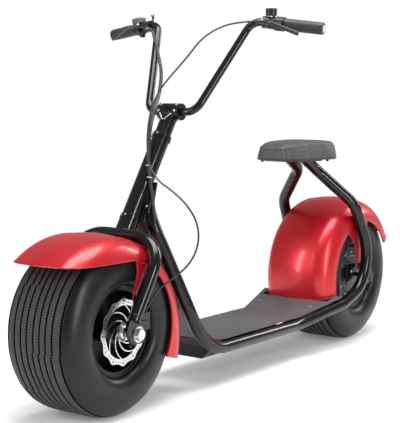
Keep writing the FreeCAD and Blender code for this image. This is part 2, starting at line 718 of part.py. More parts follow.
deck.Base = deck_side
deck.Tool = deck_plan
named(deck, "deck_plate")

bar_height = s.deck_top - s.deck_thickness - s.crossbar_height / 2
bar_span = s.rail_deck_half * 2
bar_places = ((n.wheelbase / 2 - n.deck_front - 12), (-n.wheelbase / 2 + n.deck_bend + 20))
crossbars = []
for number, forward in enumerate(bar_places, start=1):
    middle = Vector(forward, 0, float(bar_height) - n.weld_gap)
    bar = block("Crossbar%d" % number, s.crossbar_width, bar_span, s.crossbar_height, middle)
    crossbars.append(bar)
between_rails("Crossbars", "deck_crossbars", fuse("CrossbarPair", *crossbars))

battery_front = Vector(n.wheelbase / 2 - n.deck_front + 2, 0, 0)
battery_top = s.deck_top - s.deck_thickness - s.crossbar_height - s.weld_gap * 3
battery_outline = [
    (-s.battery_half, battery_top),
    (s.battery_half, battery_top),
    (s.battery_half, battery_top - s.battery_height + s.battery_edge),
    (s.battery_half - s.battery_edge, battery_top - s.battery_height),
    (s.battery_edge - s.battery_half, battery_top - s.battery_height),
    (-s.battery_half, battery_top - s.battery_height + s.battery_edge),
]
battery = plate(
    "Battery", "YZ_Plane", battery_outline, s.battery_length, battery_front - Vector(n.battery_length, 0, 0)
)
named(battery, "battery_box")

panel_foot = Vector(front_axle.x - n.deck_front + n.panel_reach, n.rail_deck_half, n.deck_top + 2)
panel_leaves = []
panel_back = Vector(-1, 0, 0.3).normalize() * n.panel_thickness
leaf_edges = [rail_corners(1)[0][2], rail_corners(1)[0][3], panel_foot]
for number, (above, below) in enumerate(zip(leaf_edges, leaf_edges[1:]), start=1):
    across = [above, below, below - LEFT * (below.y * 2), above - LEFT * (above.y * 2)]
    face = Part.Face(Part.makePolygon(across + across[:1]))
    panel_leaves.append(solid("Leaf%d" % number, face.extrude(panel_back)))
between_rails("FrontPanel", "front_panel", fuse("Panel", *panel_leaves), neck_gusset)

# Seat
seat_plate_middle = seat_middle - UP * (n.seat_plate_thickness / 2)
seat_plate = block(
    "SeatPlate", s.seat_length * 0.55, s.seat_width * 0.55, s.seat_plate_thickness, seat_plate_middle
)
named(seat_plate, "seat_plate")


def cushion_outline(inset, up):
    """The cushion from above, at one height: wide behind, narrow in front, with round corners."""
    front = n.seat_length / 2 - inset
    wide = n.seat_width / 2 - inset
    narrow = n.seat_front_width / 2 - inset
    corners = [
        Vector(-front, 0, up),
        Vector(-front, wide, up),
        Vector(front, narrow, up),
        Vector(front, -narrow, up),
        Vector(-front, -wide, up),
        Vector(-front, 0, up),
    ]
    rear_bend = n.seat_corner - inset
    front_bend = n.seat_front_corner - inset
    return round_path(corners, [rear_bend, front_bend, front_bend, rear_bend])


def seat_cushion():
    """The cushion: its sides lean in, and its upper face falls towards the front."""
    body = Part.makeLoft([cushion_outline(0, 0), cushion_outline(n.seat_taper, n.seat_height)], True, True)
    long = n.seat_length
    slope = Part.makePolygon([
        Vector(-long / 2, -long, n.seat_height),
        Vector(long / 2, -long, n.seat_height - n.seat_front_drop),
        Vector(long / 2, -long, n.seat_height * 2),
        Vector(-long / 2, -long, n.seat_height * 2),
        Vector(-long / 2, -long, n.seat_height),
    ])
    body = body.cut(Part.Face(slope).extrude(LEFT * long * 2))
    upper = [edge for edge in body.Edges if min(v.Z for v in edge.Vertexes) > n.seat_height / 2]
    return body.makeFillet(n.seat_edge, upper)


cushion = solid("Cushion", seat_cushion())
cushion.Placement = Placement(seat_middle + UP * n.soft_gap, Rotation())
named(cushion, "seat_cushion")


def fender_profile(crown, dome, inset):
    """Half of a ring's section: two flat skirts, round shoulders and a low dome between them."""
    lean = math.atan2(dome, n.fender_half_width)
    half = n.fender_half_width - inset
    peak = crown + n.fender_dome_bend * (1 / math.cos(lean) - 1) - inset / math.cos(lean)
    shoulder = peak - half * math.tan(lean)
    foot = crown - n.fender_depth
    corners = [
        Vector(0, half, foot),
        Vector(0, half, shoulder),
        Vector(0, 0, peak),
        Vector(0, -half, shoulder),
        Vector(0, -half, foot),
    ]
    shoulder_bend = n.fender_corner - inset
    return round_path(corners, [shoulder_bend, n.fender_dome_bend - inset, shoulder_bend])


def fender_shell(middle, crown, dome, first_angle, last_angle):
    """A shell turned about a wheel-wide axis, from one angle above the front to another."""
    outer = fender_profile(crown, dome, 0)
    inner = fender_profile(crown, dome, n.fender_wall)
    rims = []
    for number in (0, -1):
        ends = [wire.OrderedVertexes[number].Point for wire in (outer, inner)]
        rims.append(Part.LineSegment(*ends).toShape())
    outline = Part.Wire(Part.__sortEdges__(outer.Edges + inner.Edges + rims))
    face = Part.Face(outline)
    face.rotate(Vector(0, 0, 0), LEFT, 90 - first_angle)
    shell = face.revolve(Vector(0, 0, 0), -LEFT, last_angle - first_angle)
    shell.translate(middle)
    return shell


def side_struts(name, outline, base):
    """The same flat plate on both sides, in line with the skirts."""
    plates = []
    for word, side in SIDES:
        place = base + LEFT * (side * n.fender_strut_half)
        plates.append(plate(name + word.title(), "XZ_Plane", outline, s.fender_wall, place, True))
    return plates


WIDE = s.fender_half_width * 4

# Front fender, with the strut on each side that reaches the fork leg
front_turn = fender_shell(front_middle, n.front_fender_crown, n.front_fender_dome, 50, 194)
front_shell = solid("FrontShell", front_turn)
front_opening = cylinder_across("FrontOpening", s.front_fender_skirt, WIDE, front_axle)
below_rim_middle = Vector(front_axle.x - 26 + n.wheelbase / 4, 0, n.front_fender_rim / 2)
below_rim = block("BelowRim", s.wheelbase / 2, WIDE, s.front_fender_rim, below_rim_middle)
FRONT_STRUT = [(-24, 196), (-32, 150), (-12, 84), (-26, 74), (-42, 92), (-66, 138), (-80, 176)]
front_struts = side_struts("FrontStrut", FRONT_STRUT, front_axle)
front_cut = cut("FrontSkirt", front_shell, front_opening, below_rim)
named(fuse("FrontFender", front_cut, *front_struts), "front_fender")

# Rear fender, which stands on the deck ahead of the wheel
rear_turn = fender_shell(rear_axle, n.rear_fender_crown, n.rear_fender_dome, -20, 149)
rear_shell = solid("RearShell", rear_turn)
rear_opening = cylinder_across("RearOpening", s.rear_fender_skirt, WIDE, rear_axle)
REAR_STRUT = [
    (152, 116), (114, 156), (62, 124), (30, 24), (-6, 24), (-20, 150),
    (-40, 204), (20, 208), (62, 199), (108, 176), (160, 128),
]
rear_struts = side_struts("RearStrut", REAR_STRUT, rear_axle)
rear_strut_foot = rear_axle + Vector(5, 0, 36)
below_deck_turn = Rotation(LEFT, n.deck_slope)
deck_bend_point = Vector(float(deck_bend_x), 0, n.deck_top + n.soft_gap)
below_deck_middle = deck_bend_point + below_deck_turn.multVec(Vector(-n.wheelbase / 4, 0, -n.deck_top / 2))
below_deck = block("BelowDeck", s.wheelbase / 2, WIDE, s.deck_top, below_deck_middle, below_deck_turn)
rear_cut = cut("RearSkirt", rear_shell, rear_opening, below_deck)
between_rails("RearFender", "rear_fender", fuse("RearFenderSolid", rear_cut, *rear_struts))

# Plates that hold the rear axle, welded to the rails
AXLE_PLATE = [
    (-28, -22), (10, -30), (80, -38), (60, -18), (42, 2),
    (32, 22), (25, 46), (-8, 46), (-14, 30), (-28, 16),
]
for word, side in SIDES:
    name = "AxlePlate" + word.title()
    base = rear_axle + LEFT * (side * n.axle_plate_half)
    body = plate(name, "XZ_Plane", AXLE_PLATE, s.axle_plate_thickness, base, True)
    hole = cylinder_across(name + "Hole", s.axle_radius + s.fit_gap, s.axle_plate_thickness * 3, base)
    strut_boss = boss(name + "Boss", rear_strut_foot, side, fender_outside, n.axle_plate_half)
    between_rails(name + "Cut", word + "_axle_plate", fuse(name + "Solid", body, strut_boss), hole)


def caliper(name, label, middle, side, plate_inside):
    """A brake caliper over the rear edge of a disc, with the arm that carries it beside the axle."""
    reach = n.disc_radius + n.caliper_gap + n.caliper_wall - n.caliper_length / 2
    up = n.caliper_height / 2 - n.caliper_wall
    body_middle = middle + Vector(-reach, side * n.disc_left, up)
    body = block(name + "Body", s.caliper_length, s.caliper_width, s.caliper_height, body_middle)
    slot_width = s.disc_thickness + s.caliper_gap * 2
    slot_middle = body_middle + Vector(n.caliper_wall, 0, 0)
    slot = block(name + "Slot", s.caliper_length, slot_width, s.caliper_height * 2, slot_middle)
    arm_length = reach - n.boss_radius * 2
    arm_left = side * (n.disc_left + n.caliper_width / 2 + n.caliper_arm / 2)
    arm_middle = middle + Vector(-reach + arm_length / 2, arm_left, n.boss_radius * 2)
    arm_size = Length(arm_length, repr(arm_length))
    arm = block(name + "Arm", arm_size, s.caliper_arm, s.boss_radius * 2, arm_middle)
    boss_middle = middle + Vector(-n.boss_radius * 2.5, 0, n.boss_radius * 2)
    foot = boss(name + "Boss", boss_middle, side, n.disc_left + n.caliper_width / 2, plate_inside)
    named(fuse(name, cut(name + "Cut", body, slot), arm, foot), label)


caliper("FrontCaliper", "front_caliper", front_axle, 1, n.fork_half_width - n.dropout_thickness / 2)
caliper("RearCaliper", "rear_caliper", rear_axle, -1, n.axle_plate_half - n.axle_plate_thickness / 2)

# Brake cables from the levers, and the loom that takes them into the frame
ARC_SHARE = 0.45
# points of each route ahead, left and above the front axle
FRONT_CABLE = [
    (-441, 147, 817), (-397, 112, 798), (-357, 86, 766), (-331, 62, 719), (-300, 38, 675),
    (-267, 18, 632), (-230, 17, 586), (-206, 21, 533), (-196, 25, 476), (-190, 36, 422),
    (-179, 75, 381), (-175, 128, 357), (-175, 179, 321), (-188, 205, 272), (-184, 210, 215),
    (-159, 198, 165), (-129, 164, 128), (-98, 131, 95), (-82, 113, 42.4),
]
REAR_CABLE = [
    (-457, -163, 810), (-441, -133, 755), (-420, -105, 713), (-391, -76, 677), (-352, -49, 643),
    (-309, -23, 609), (-270, -6, 575), (-239, 3, 532), (-222, 10, 480), (-211, 18, 427),
]
LOOM = [
    (-210.8, 18.4, 425.3), (-205, 29, 382), (-201, 41, 338), (-194, 53, 295), (-201, 49, 250),
]


def cable(name, points, radius):
    """A tube through the points of its route, with each arc as large as its two runs allow."""
    bends = []
    for before, corner, after in zip(points, points[1:], points[2:]):
        back = before - corner
        onward = after - corner
        shorter = min(back.Length, onward.Length)
        bends.append(ARC_SHARE * shorter * math.tan(back.getAngle(onward) / 2))
    wire = round_path(points, bends)
    shape = tube(wire, radius)
    share = shape.Volume / (math.pi * radius ** 2 * wire.Length)
    print(name, "radii", [round(bend) for bend in bends])
    print(name, "length", round(wire.Length), "volume over section times length", round(share, 4))
    return solid(name, shape)


front_route = [left_cable_start] + [front_axle + Vector(*point) for point in FRONT_CABLE]
named(cable("FrontCable", front_route, n.cable_radius), "front_brake_cable")
rear_route = [right_cable_start] + [front_axle + Vector(*point) for point in REAR_CABLE]
named(cable("RearCable", rear_route, n.cable_radius), "rear_brake_cable")
loom = cable("LoomTube", [front_axle + Vector(*point) for point in LOOM], n.loom_radius)
between_rails("Loom", "frame_loom", loom, neck_gusset)

doc.recompute()
for item in doc.Objects:
    assert "Invalid" not in item.State and "Error" not in item.State, item.Name
os.makedirs("parts", exist_ok=True)
for item in PARTS:
    assert not item.Shape.isNull() and item.Shape.isValid(), item.Label
    item.Shape.exportStep("parts/%s.step" % item.Label)
    box = item.Shape.BoundBox
    print(item.Label, len(item.Shape.Solids), round(item.Shape.Volume / 1000), [round(v) for v in (
        box.XMin, box.XMax, box.YMin, box.YMax, box.ZMin, box.ZMax)])
print(len(PARTS), "pieces")
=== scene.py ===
# %% [markdown]
# # A sit-on electric scooter
# This lesson dresses a packed scooter model. The solids give the shapes and the joints, and each cell
# here adds one piece or one finish. Every piece is named for what it is on the real scooter.

# %% Load the frame
import math
import bmesh
import bpy
import numpy as np
from mathutils import Matrix, Vector
from mathutils.bvhtree import BVHTree


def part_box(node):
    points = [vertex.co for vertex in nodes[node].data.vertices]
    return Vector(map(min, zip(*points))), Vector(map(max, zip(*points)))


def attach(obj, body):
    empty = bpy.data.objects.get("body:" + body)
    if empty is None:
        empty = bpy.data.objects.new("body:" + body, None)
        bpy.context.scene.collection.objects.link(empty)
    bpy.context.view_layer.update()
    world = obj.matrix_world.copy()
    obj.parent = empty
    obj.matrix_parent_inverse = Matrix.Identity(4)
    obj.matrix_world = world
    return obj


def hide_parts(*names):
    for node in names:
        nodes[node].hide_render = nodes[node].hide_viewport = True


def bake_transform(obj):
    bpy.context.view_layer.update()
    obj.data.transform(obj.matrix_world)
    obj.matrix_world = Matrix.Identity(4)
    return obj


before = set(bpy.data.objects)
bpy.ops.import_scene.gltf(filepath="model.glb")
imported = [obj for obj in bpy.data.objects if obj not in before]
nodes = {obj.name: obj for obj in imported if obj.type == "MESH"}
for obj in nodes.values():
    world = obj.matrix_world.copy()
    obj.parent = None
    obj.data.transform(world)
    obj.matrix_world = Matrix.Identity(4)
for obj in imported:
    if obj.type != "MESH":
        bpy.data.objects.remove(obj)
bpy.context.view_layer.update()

# %% [markdown]
# ## The camera
# The picture is taken from the front left with a long lens, at about the height of the seat. The camera
# comes first, because every later look is judged through it. Its turn is built from two directions:
# where it looks, and which way is up in the picture.

# %% Place the camera
CAMERA_PLACE = Vector((2.9155, 1.9448, 0.8242))
CAMERA_YAW, CAMERA_PITCH, CAMERA_ROLL = -2.5271, -0.0962, 0.0119
LENS_PIXELS = 1146.66
PICTURE_HEIGHT = 423
SENSOR = 36


def camera_axes(yaw, pitch, roll):
    look = Vector((math.cos(pitch) * math.cos(yaw), math.cos(pitch) * math.sin(yaw), math.sin(pitch)))
    right = look.cross(Vector((0, 0, 1))).normalized()
    up = right.cross(look)
    return look, math.cos(roll) * right + math.sin(roll) * up, math.cos(roll) * up - math.sin(roll) * right


look, right, up = camera_axes(CAMERA_YAW, CAMERA_PITCH, CAMERA_ROLL)
camera = bpy.data.objects.new("camera", bpy.data.cameras.new("camera"))
camera.data.sensor_width = SENSOR
camera.data.lens = LENS_PIXELS * SENSOR / PICTURE_HEIGHT
camera.matrix_world = Matrix.Translation(CAMERA_PLACE) @ Matrix((right, up, -look)).transposed().to_4x4()
bpy.context.scene.collection.objects.link(camera)
bpy.context.scene.camera = camera
print("lens", round(camera.data.lens, 1), "mm")

# %% [markdown]
# ## Floor and light
# The room is plain and pale. White paper lies under the scooter and fades to the same white as the
# backdrop, so no horizon shows. A white room all round would be mirrored in the black paint and turn it
# grey, so the world has two strengths: the camera itself sees white, and every other ray gets a weak even
# fill. Tall narrow lamps do the rest, because they draw thin bright streaks along the tubes, and one wide
# lamp overhead keeps the shadow on the floor soft.

# %% Set the stage
BACKDROP_STRENGTH, FILL_STRENGTH = 1.0, 0.32
scene = bpy.context.scene
scene.view_settings.view_transform = "Standard"
scene.world = bpy.data.worlds.new("studio")
scene.world.use_nodes = True
studio = scene.world.node_tree
backdrop = studio.nodes["Background"]
backdrop.inputs["Color"].default_value = (1, 1, 1, 1)
backdrop.inputs["Strength"].default_value = BACKDROP_STRENGTH
fill = studio.nodes.new("ShaderNodeBackground")
fill.inputs["Color"].default_value = (0.96, 0.98, 1, 1)
fill.inputs["Strength"].default_value = FILL_STRENGTH
ray = studio.nodes.new("ShaderNodeLightPath")
either = studio.nodes.new("ShaderNodeMixShader")
studio.links.new(ray.outputs["Is Camera Ray"], either.inputs["Fac"])
studio.links.new(fill.outputs[0], either.inputs[1])
studio.links.new(backdrop.outputs[0], either.inputs[2])
studio.links.new(either.outputs[0], studio.nodes["World Output"].inputs["Surface"])
print("white behind the scooter, fill of", FILL_STRENGTH, "on it")

# %% Lay the floor
FLOOR_SIZE, FLOOR_NEAR, FLOOR_FAR = 80, 1.1, 2.8
PAPER_GREY, PAPER_GLOW = 0.9, 0.12
bpy.ops.mesh.primitive_plane_add(size=FLOOR_SIZE, location=(0, 0, 0))
floor = bpy.context.object
floor.name = "floor"
paper = bpy.data.materials.new("white_paper")
paper.use_nodes = True
floor.data.materials.append(paper)
tree = paper.node_tree
lit = tree.nodes["Principled BSDF"]
lit.inputs["Base Color"].default_value = (PAPER_GREY, PAPER_GREY, PAPER_GREY, 1)
lit.inputs["Roughness"].default_value = 0.9
lit.inputs["Specular IOR Level"].default_value = 0.0
lit.inputs["Emission Color"].default_value = (1, 1, 1, 1)
lit.inputs["Emission Strength"].default_value = PAPER_GLOW
glow = tree.nodes.new("ShaderNodeEmission")
place = tree.nodes.new("ShaderNodeTexCoord")
far = tree.nodes.new("ShaderNodeVectorMath")
far.operation = "LENGTH"
fade = tree.nodes.new("ShaderNodeMapRange")
fade.inputs[1].default_value, fade.inputs[2].default_value = FLOOR_NEAR, FLOOR_FAR
fade.interpolation_type = "SMOOTHSTEP"
blend = tree.nodes.new("ShaderNodeMixShader")
tree.links.new(place.outputs["Object"], far.inputs[0])
tree.links.new(far.outputs["Value"], fade.inputs[0])
tree.links.new(fade.outputs[0], blend.inputs["Fac"])
tree.links.new(lit.outputs[0], blend.inputs[1])
tree.links.new(glow.outputs[0], blend.inputs[2])
tree.links.new(blend.outputs[0], tree.nodes["Material Output"].inputs["Surface"])
print("floor fades to white between", FLOOR_NEAR, "and", FLOOR_FAR, "m")


# %% Hang the lamps
def soft_lamp(name, place, aim, size, watts):
    data = bpy.data.lights.new(name, "AREA")
    data.shape = "RECTANGLE"
    data.size, data.size_y = size
    data.energy = watts
    lamp = bpy.data.objects.new(name, data)
    lamp.location = place
    lamp.rotation_euler = (Vector(aim) - Vector(place)).to_track_quat("-Z", "Y").to_euler()
    scene.collection.objects.link(lamp)


# Each row: name, place, the spot it points at, width and height, watts.
LAMPS = (
    ("top_lamp", (0.2, 0.3, 3.0), (0, 0, 0.2), (2.6, 1.4), 110),
    ("front_lamp", (3.2, -1.4, 1.6), (0.3, 0, 0.5), (0.25, 2.2), 50),
    ("side_lamp", (1.0, 3.4, 1.5), (0, 0, 0.5), (0.3, 2.4), 70),
    ("back_lamp", (-3.0, 1.2, 2.0), (-0.3, 0, 0.5), (0.3, 2.0), 40),
)
for lamp_row in LAMPS:
    soft_lamp(*lamp_row)
print("stage ready:", len(LAMPS), "lamps")

# %% [markdown]
# ## A helper for finishes
# A finish is a small node tree. This helper keeps the tree short: it makes a principled shader, and gives
# words for noise, cells, ranges, colours and bumps. All patterns read the object's own coordinates, in
# metres, so grain has its real size and stays on a piece when it moves.

# %% Define the finish helper
class Finish:
    def __init__(self, name, color, rough, metal=0.0, coat=0.0, coat_rough=0.1, sheen=0.0, specular=0.5):
        self.made = bpy.data.materials.new(name)
        self.made.use_nodes = True
        self.tree = self.made.node_tree
        self.shader = self.tree.nodes["Principled BSDF"]
        self.made.diffuse_color = (*color, 1)
        sockets = {"Base Color": (*color, 1), "Roughness": rough, "Metallic": metal, "Coat Weight": coat,
                   "Coat Roughness": coat_rough, "Sheen Weight": sheen, "Specular IOR Level": specular}
        for socket, value in sockets.items():
            self.shader.inputs[socket].default_value = value
        self.place = self.tree.nodes.new("ShaderNodeTexCoord").outputs["Object"]

    def node(self, kind, **inputs):
        made = self.tree.nodes.new(kind)
        for socket, value in inputs.items():
            target = made.inputs[int(socket[1:])] if socket[0] == "_" else made.inputs[socket]
            if isinstance(value, bpy.types.NodeSocket):
                self.tree.links.new(value, target)
            else:
                target.default_value = value
        return made

    def noise(self, scale, detail=3.0, where=None):
        made = self.node("ShaderNodeTexNoise", Vector=where or self.place, Scale=scale, Detail=detail)
        return made.outputs["Fac"]

    def cells(self, scale, feature="F1"):
        made = self.node("ShaderNodeTexVoronoi", Vector=self.place, Scale=scale)
        made.feature = feature
        return made.outputs["Distance"]

    def stretched(self, scale):
        return self.node("ShaderNodeMapping", Vector=self.place, Scale=scale).outputs["Vector"]

    def range(self, value, low, high, to_low, to_high):
        return self.node("ShaderNodeMapRange", _0=value, _1=low, _2=high, _3=to_low, _4=to_high).outputs[0]

    def colors(self, value, *stops):
        made = self.node("ShaderNodeValToRGB", Fac=value)
        ramp = made.color_ramp
        while len(ramp.elements) < len(stops):
            ramp.elements.new(0.5)
        for element, (at, color) in zip(ramp.elements, stops):
            element.position = at
            element.color = (*color, 1)
        return made.outputs["Color"]

    def color(self, value, *stops):
        self.tree.links.new(self.colors(value, *stops), self.shader.inputs["Base Color"])

    def rough(self, value, low, high, to_low, to_high):
        self.tree.links.new(self.range(value, low, high, to_low, to_high), self.shader.inputs["Roughness"])

    def math(self, operation, *values):
        sockets = {"_" + str(number): value for number, value in enumerate(values)}
        made = self.node("ShaderNodeMath", **sockets)
        made.operation = operation
        return made.outputs[0]

    def bump(self, height, depth):
        before = self.shader.inputs["Normal"].links
        made = self.node("ShaderNodeBump", Height=height, Strength=1.0, Distance=depth)
        if before:
            self.tree.links.new(before[0].from_socket, made.inputs["Normal"])
        self.tree.links.new(made.outputs["Normal"], self.shader.inputs["Normal"])


print("helper ready: Finish")

# %% [markdown]
# ## Painted steel and red fenders
# The fenders are steel sheet in a satin red with fine metal flakes, under a thin clear coat. The flakes
# are cells about half a millimetre wide that shift the red a little. A slow, very shallow noise gives the
# slight waviness that sprayed paint has. The tubes are gloss black over the same kind of base.

# %% Mix the paints
FLAKES_PER_METRE = 1900
red = Finish("satin_red_paint", (0.50, 0.006, 0.014), 0.34, metal=0.45, coat=0.35, coat_rough=0.16)
flakes = red.cells(FLAKES_PER_METRE)
red.color(flakes, (0.0, (0.60, 0.012, 0.022)), (0.5, (0.49, 0.006, 0.013)), (1.0, (0.40, 0.004, 0.010)))
red.rough(red.noise(9), 0.3, 0.7, 0.31, 0.38)
red.bump(red.noise(260, 2), 0.00006)
black = Finish("gloss_black_paint", (0.004, 0.004, 0.0045), 0.2, coat=0.2, coat_rough=0.04, specular=0.28)
black.color(black.noise(40), (0.3, (0.003, 0.003, 0.0035)), (0.7, (0.006, 0.0056, 0.006)))
black.rough(black.noise(18), 0.3, 0.7, 0.15, 0.24)
black.bump(black.noise(90, 2), 0.00003)
print("paints:", red.made.name, black.made.name)

# %% [markdown]
# ## Rubber, plastics, seat cover and metals
# Tyre rubber is dark grey, a little warm, and duller where it has been handled. Moulded plastic has a fine
# spark-eroded grain. The seat cover has the pebbled grain of leatherette: soft cells a few tenths of a
# millimetre deep. Brushed steel shows fine lines, which are noise that is squeezed in one direction.

# %% Mix the other finishes
PEBBLES_PER_METRE = 720


def grained(name, color, rough, grain, depth, spread=0.25, **more):
    made = Finish(name, color, rough, **more)
    pale = tuple(c * (1 + spread) for c in color)
    dark = tuple(c * (1 - spread) for c in color)
    made.color(made.noise(14, 4), (0.3, dark), (0.7, pale))
    made.rough(made.noise(30), 0.3, 0.7, rough - 0.06, rough + 0.06)
    made.bump(made.noise(grain, 2), depth)
    return made


tyre_rubber = grained("tyre_rubber", (0.0045, 0.0040, 0.0045), 0.36, 900, 0.00008, specular=0.3)
grip_rubber = grained("grip_rubber", (0.012, 0.012, 0.013), 0.5, 1400, 0.00005)
plastic = grained("moulded_plastic", (0.009, 0.009, 0.0095), 0.4, 1600, 0.00008, specular=0.35)
battery_case = grained("battery_case", (0.004, 0.004, 0.0045), 0.3, 700, 0.00006, specular=0.3)
panel_paint = grained("panel_paint", (0.105, 0.100, 0.118), 0.42, 900, 0.00008, 0.08)
deck_cover = grained("deck_cover", (0.078, 0.073, 0.079), 0.55, 800, 0.0002, 0.1)
dark_alloy = grained("dark_alloy", (0.045, 0.045, 0.048), 0.38, 1100, 0.00008, metal=0.75)
rim_paint = grained("rim_paint", (0.004, 0.004, 0.0045), 0.3, 500, 0.00003, specular=0.25)
motor_paint = grained("motor_paint", (0.050, 0.050, 0.053), 0.45, 420, 0.00012, metal=0.4)
grey_plastic = grained("grey_plastic", (0.10, 0.10, 0.105), 0.45, 1300, 0.00006)
light_plastic = grained("light_plastic", (0.50, 0.50, 0.51), 0.45, 1200, 0.00005)
cable_jacket = grained("cable_jacket", (0.014, 0.014, 0.015), 0.45, 1200, 0.00004)
seat_cover = Finish("seat_leatherette", (0.040, 0.036, 0.040), 0.52, sheen=0.05)
seat_cover.color(seat_cover.noise(11, 4), (0.3, (0.037, 0.033, 0.037)), (0.7, (0.046, 0.041, 0.046)))
seat_cover.rough(seat_cover.noise(35), 0.3, 0.7, 0.48, 0.6)
seat_cover.bump(seat_cover.cells(PEBBLES_PER_METRE, "SMOOTH_F1"), 0.00035)
seat_cover.bump(seat_cover.noise(45), 0.0006)
steel = Finish("brushed_steel", (0.60, 0.60, 0.61), 0.28, metal=1.0)
lines = steel.noise(60, 4, steel.stretched((40, 1, 40)))
steel.color(lines, (0.3, (0.50, 0.50, 0.51)), (0.7, (0.72, 0.72, 0.72)))
steel.rough(lines, 0.3, 0.7, 0.2, 0.36)
steel.bump(lines, 0.00004)
print("finishes:", len(bpy.data.materials))

# %% Name the slot of each finish
SLOTS = {
    "red_paint": (red,), "black_paint": (black,), "black_tyre": (tyre_rubber,), "black_rim": (rim_paint,),
    "motor_grey": (motor_paint,), "bright_steel": (steel,), "deck_grey": (deck_cover, panel_paint),
    "black_plastic": (plastic, battery_case, grey_plastic, light_plastic), "dark_metal": (dark_alloy,),
    "grip_rubber": (grip_rubber,), "seat_cover": (seat_cover,), "black_cable": (cable_jacket,),
}
for slot, kinds in SLOTS.items():
    for kind in kinds:
        kind.slot = slot
print("slots:", len(SLOTS))

# %% Put a finish on each solid
FINISHES = {
    red: "front_fender rear_fender",
    black: "head_tube left_rail right_rail neck_gusset deck_crossbars seat_plate fork stem handlebar",
    rim_paint: "front_rim left_axle_plate right_axle_plate",
    tyre_rubber: "front_tyre rear_tyre",
    motor_paint: "rear_hub_motor",
    deck_cover: "deck_plate",
    panel_paint: "front_panel",
    battery_case: "battery_box",
    plastic: "left_switch right_switch bell",
    dark_alloy: "rear_caliper front_caliper left_brake_lever right_brake_lever rear_axle",
    grip_rubber: "left_grip right_grip",
    seat_cover: "seat_cushion",
    steel: "front_axle front_disc rear_disc",
    cable_jacket: "front_brake_cable rear_brake_cable frame_loom",
}
for kind, names in FINISHES.items():
    for name in names.split():
        nodes[name].data.materials.clear()
        nodes[name].data.materials.append(kind.made)
print("solids with a finish:", sum(len(names.split()) for names in FINISHES.values()), "of", len(nodes))

# %% [markdown]
# ## Helpers for pieces
# A piece of the scooter is a mesh or a curve that rides on one body. The helpers below take points in
# millimetres, because that is how the scooter is measured, and turn them into metres once. `lathe` turns
# an outline of (left, radius) pairs about an axis, `pipe` runs a round wire along points, and `soft_edges`
# takes the knife edge off a plate.

# %% Define the piece helpers
MM = 0.001


def add_piece(name, data, finish, body, replaces=()):
    made = bpy.data.objects.new(name, data)
    scene.collection.objects.link(made)
    data.materials.clear()
    data.materials.append(finish.made)
    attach(made, body)
    if replaces:
        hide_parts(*replaces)
    return made


def mesh_piece(name, points, faces, finish, body, replaces=(), sharp=35):
    data = bpy.data.meshes.new(name)
    data.from_pydata([Vector(p) * MM for p in points], [], faces)
    data.shade_smooth()
    data.set_sharp_from_angle(angle=math.radians(sharp))
    return add_piece(name, data, finish, body, replaces)


def grid_faces(rows, columns, close_rows=False, close_columns=False):
    faces = []
    for row in range(rows if close_rows else rows - 1):
        for column in range(columns if close_columns else columns - 1):
            right, below = (column + 1) % columns, (row + 1) % rows
            faces.append((row * columns + column, row * columns + right,
                          below * columns + right, below * columns + column))
    return faces


def lathe(outline, middle, steps, axis):
    turn = Vector((0, 1, 0)).rotation_difference(Vector(axis))
    points = []
    for step in range(steps):
        angle = math.tau * step / steps
        for left, radius in outline:
            spoke = Vector((radius * math.cos(angle), left, radius * math.sin(angle)))
            points.append(Vector(middle) + turn @ spoke)
    return points, grid_faces(steps, len(outline), True)


def wire_curve(name, points, radius, cyclic=False):
    data = bpy.data.curves.new(name, "CURVE")
    data.dimensions = "3D"
    data.bevel_depth = radius * MM
    data.bevel_resolution = 4
    data.use_fill_caps = True
    spline = data.splines.new("NURBS")
    spline.points.add(len(points) - 1)
    for target, point in zip(spline.points, points):
        target.co = (*(Vector(point) * MM), 1)
    spline.order_u = 3
    spline.use_endpoint_u = not cyclic
    spline.use_cyclic_u = cyclic
    spline.resolution_u = 8
    return data


def pipe(name, points, radius, finish, body, replaces=(), cyclic=False):
    return add_piece(name, wire_curve(name, points, radius, cyclic), finish, body, replaces)


def curve_mesh(data):
    """The mesh of a curve. The curve itself is thrown away."""
    holder = bpy.data.objects.new(data.name, data)
    mesh = bpy.data.meshes.new_from_object(holder)
    bpy.data.objects.remove(holder)
    bpy.data.curves.remove(data)
    return mesh


def face_outward(data):
    sides = bmesh.new()
    sides.from_mesh(data)
    bmesh.ops.recalc_face_normals(sides, faces=sides.faces)
    sides.to_mesh(data)
    sides.free()


def soft_edges(piece, width):
    bevel = piece.modifiers.new("soft_edges", "BEVEL")
    bevel.width = width * MM
    bevel.segments = 1
    bevel.limit_method = "ANGLE"
    bevel.angle_limit = math.radians(30)


print("helpers ready: piece, lathe, pipe, soft edges")

# %% [markdown]
# ## Tyres
# The scooter stands on fat smooth tyres. Nine narrow grooves run round the tread. Each wanders sideways
# by a few millimetres, stops short, and starts again, one group of grooves at a time. The tyre is one
# grid that is turned about the axle. Its columns follow the grooves, so that the groove walls stay crisp.
# The walls and floors of the grooves get a near-black rubber, which paints the shade in them. The fine
# cross cuts are left to the rubber's bump and to a painted shade that darkens the colour into each cut.

# %% Turn the tyres
FRONT_AXLE = (645, 0, 228)
REAR_AXLE = (-645, 0, 228)
GROOVES = (-86, -62, -40.5, -20.5, 0, 20.5, 40.5, 62, 86)
GROOVE_HALF, GROOVE_DEPTH = 2.5, 5.0
TYRE_SHAPE = ((0, 228), (40, 228), (60, 227.8), (75, 226.6), (86, 222.6), (94, 217.6), (102, 209.5),
              (108, 201), (113, 190), (116, 180), (117.6, 168), (118, 156), (117.2, 145), (115, 136),
              (110.5, 127.5), (104, 121.3), (95, 118.6), (88, 118.8), (85.4, 117), (85.2, 113))
SIDE_FROM, TREAD_TO = 9, 12
SHOULDER = ((99, 213), (108, 201))
EDGE_COLUMNS = len(TYRE_SHAPE) - SIDE_FROM + len(SHOULDER)
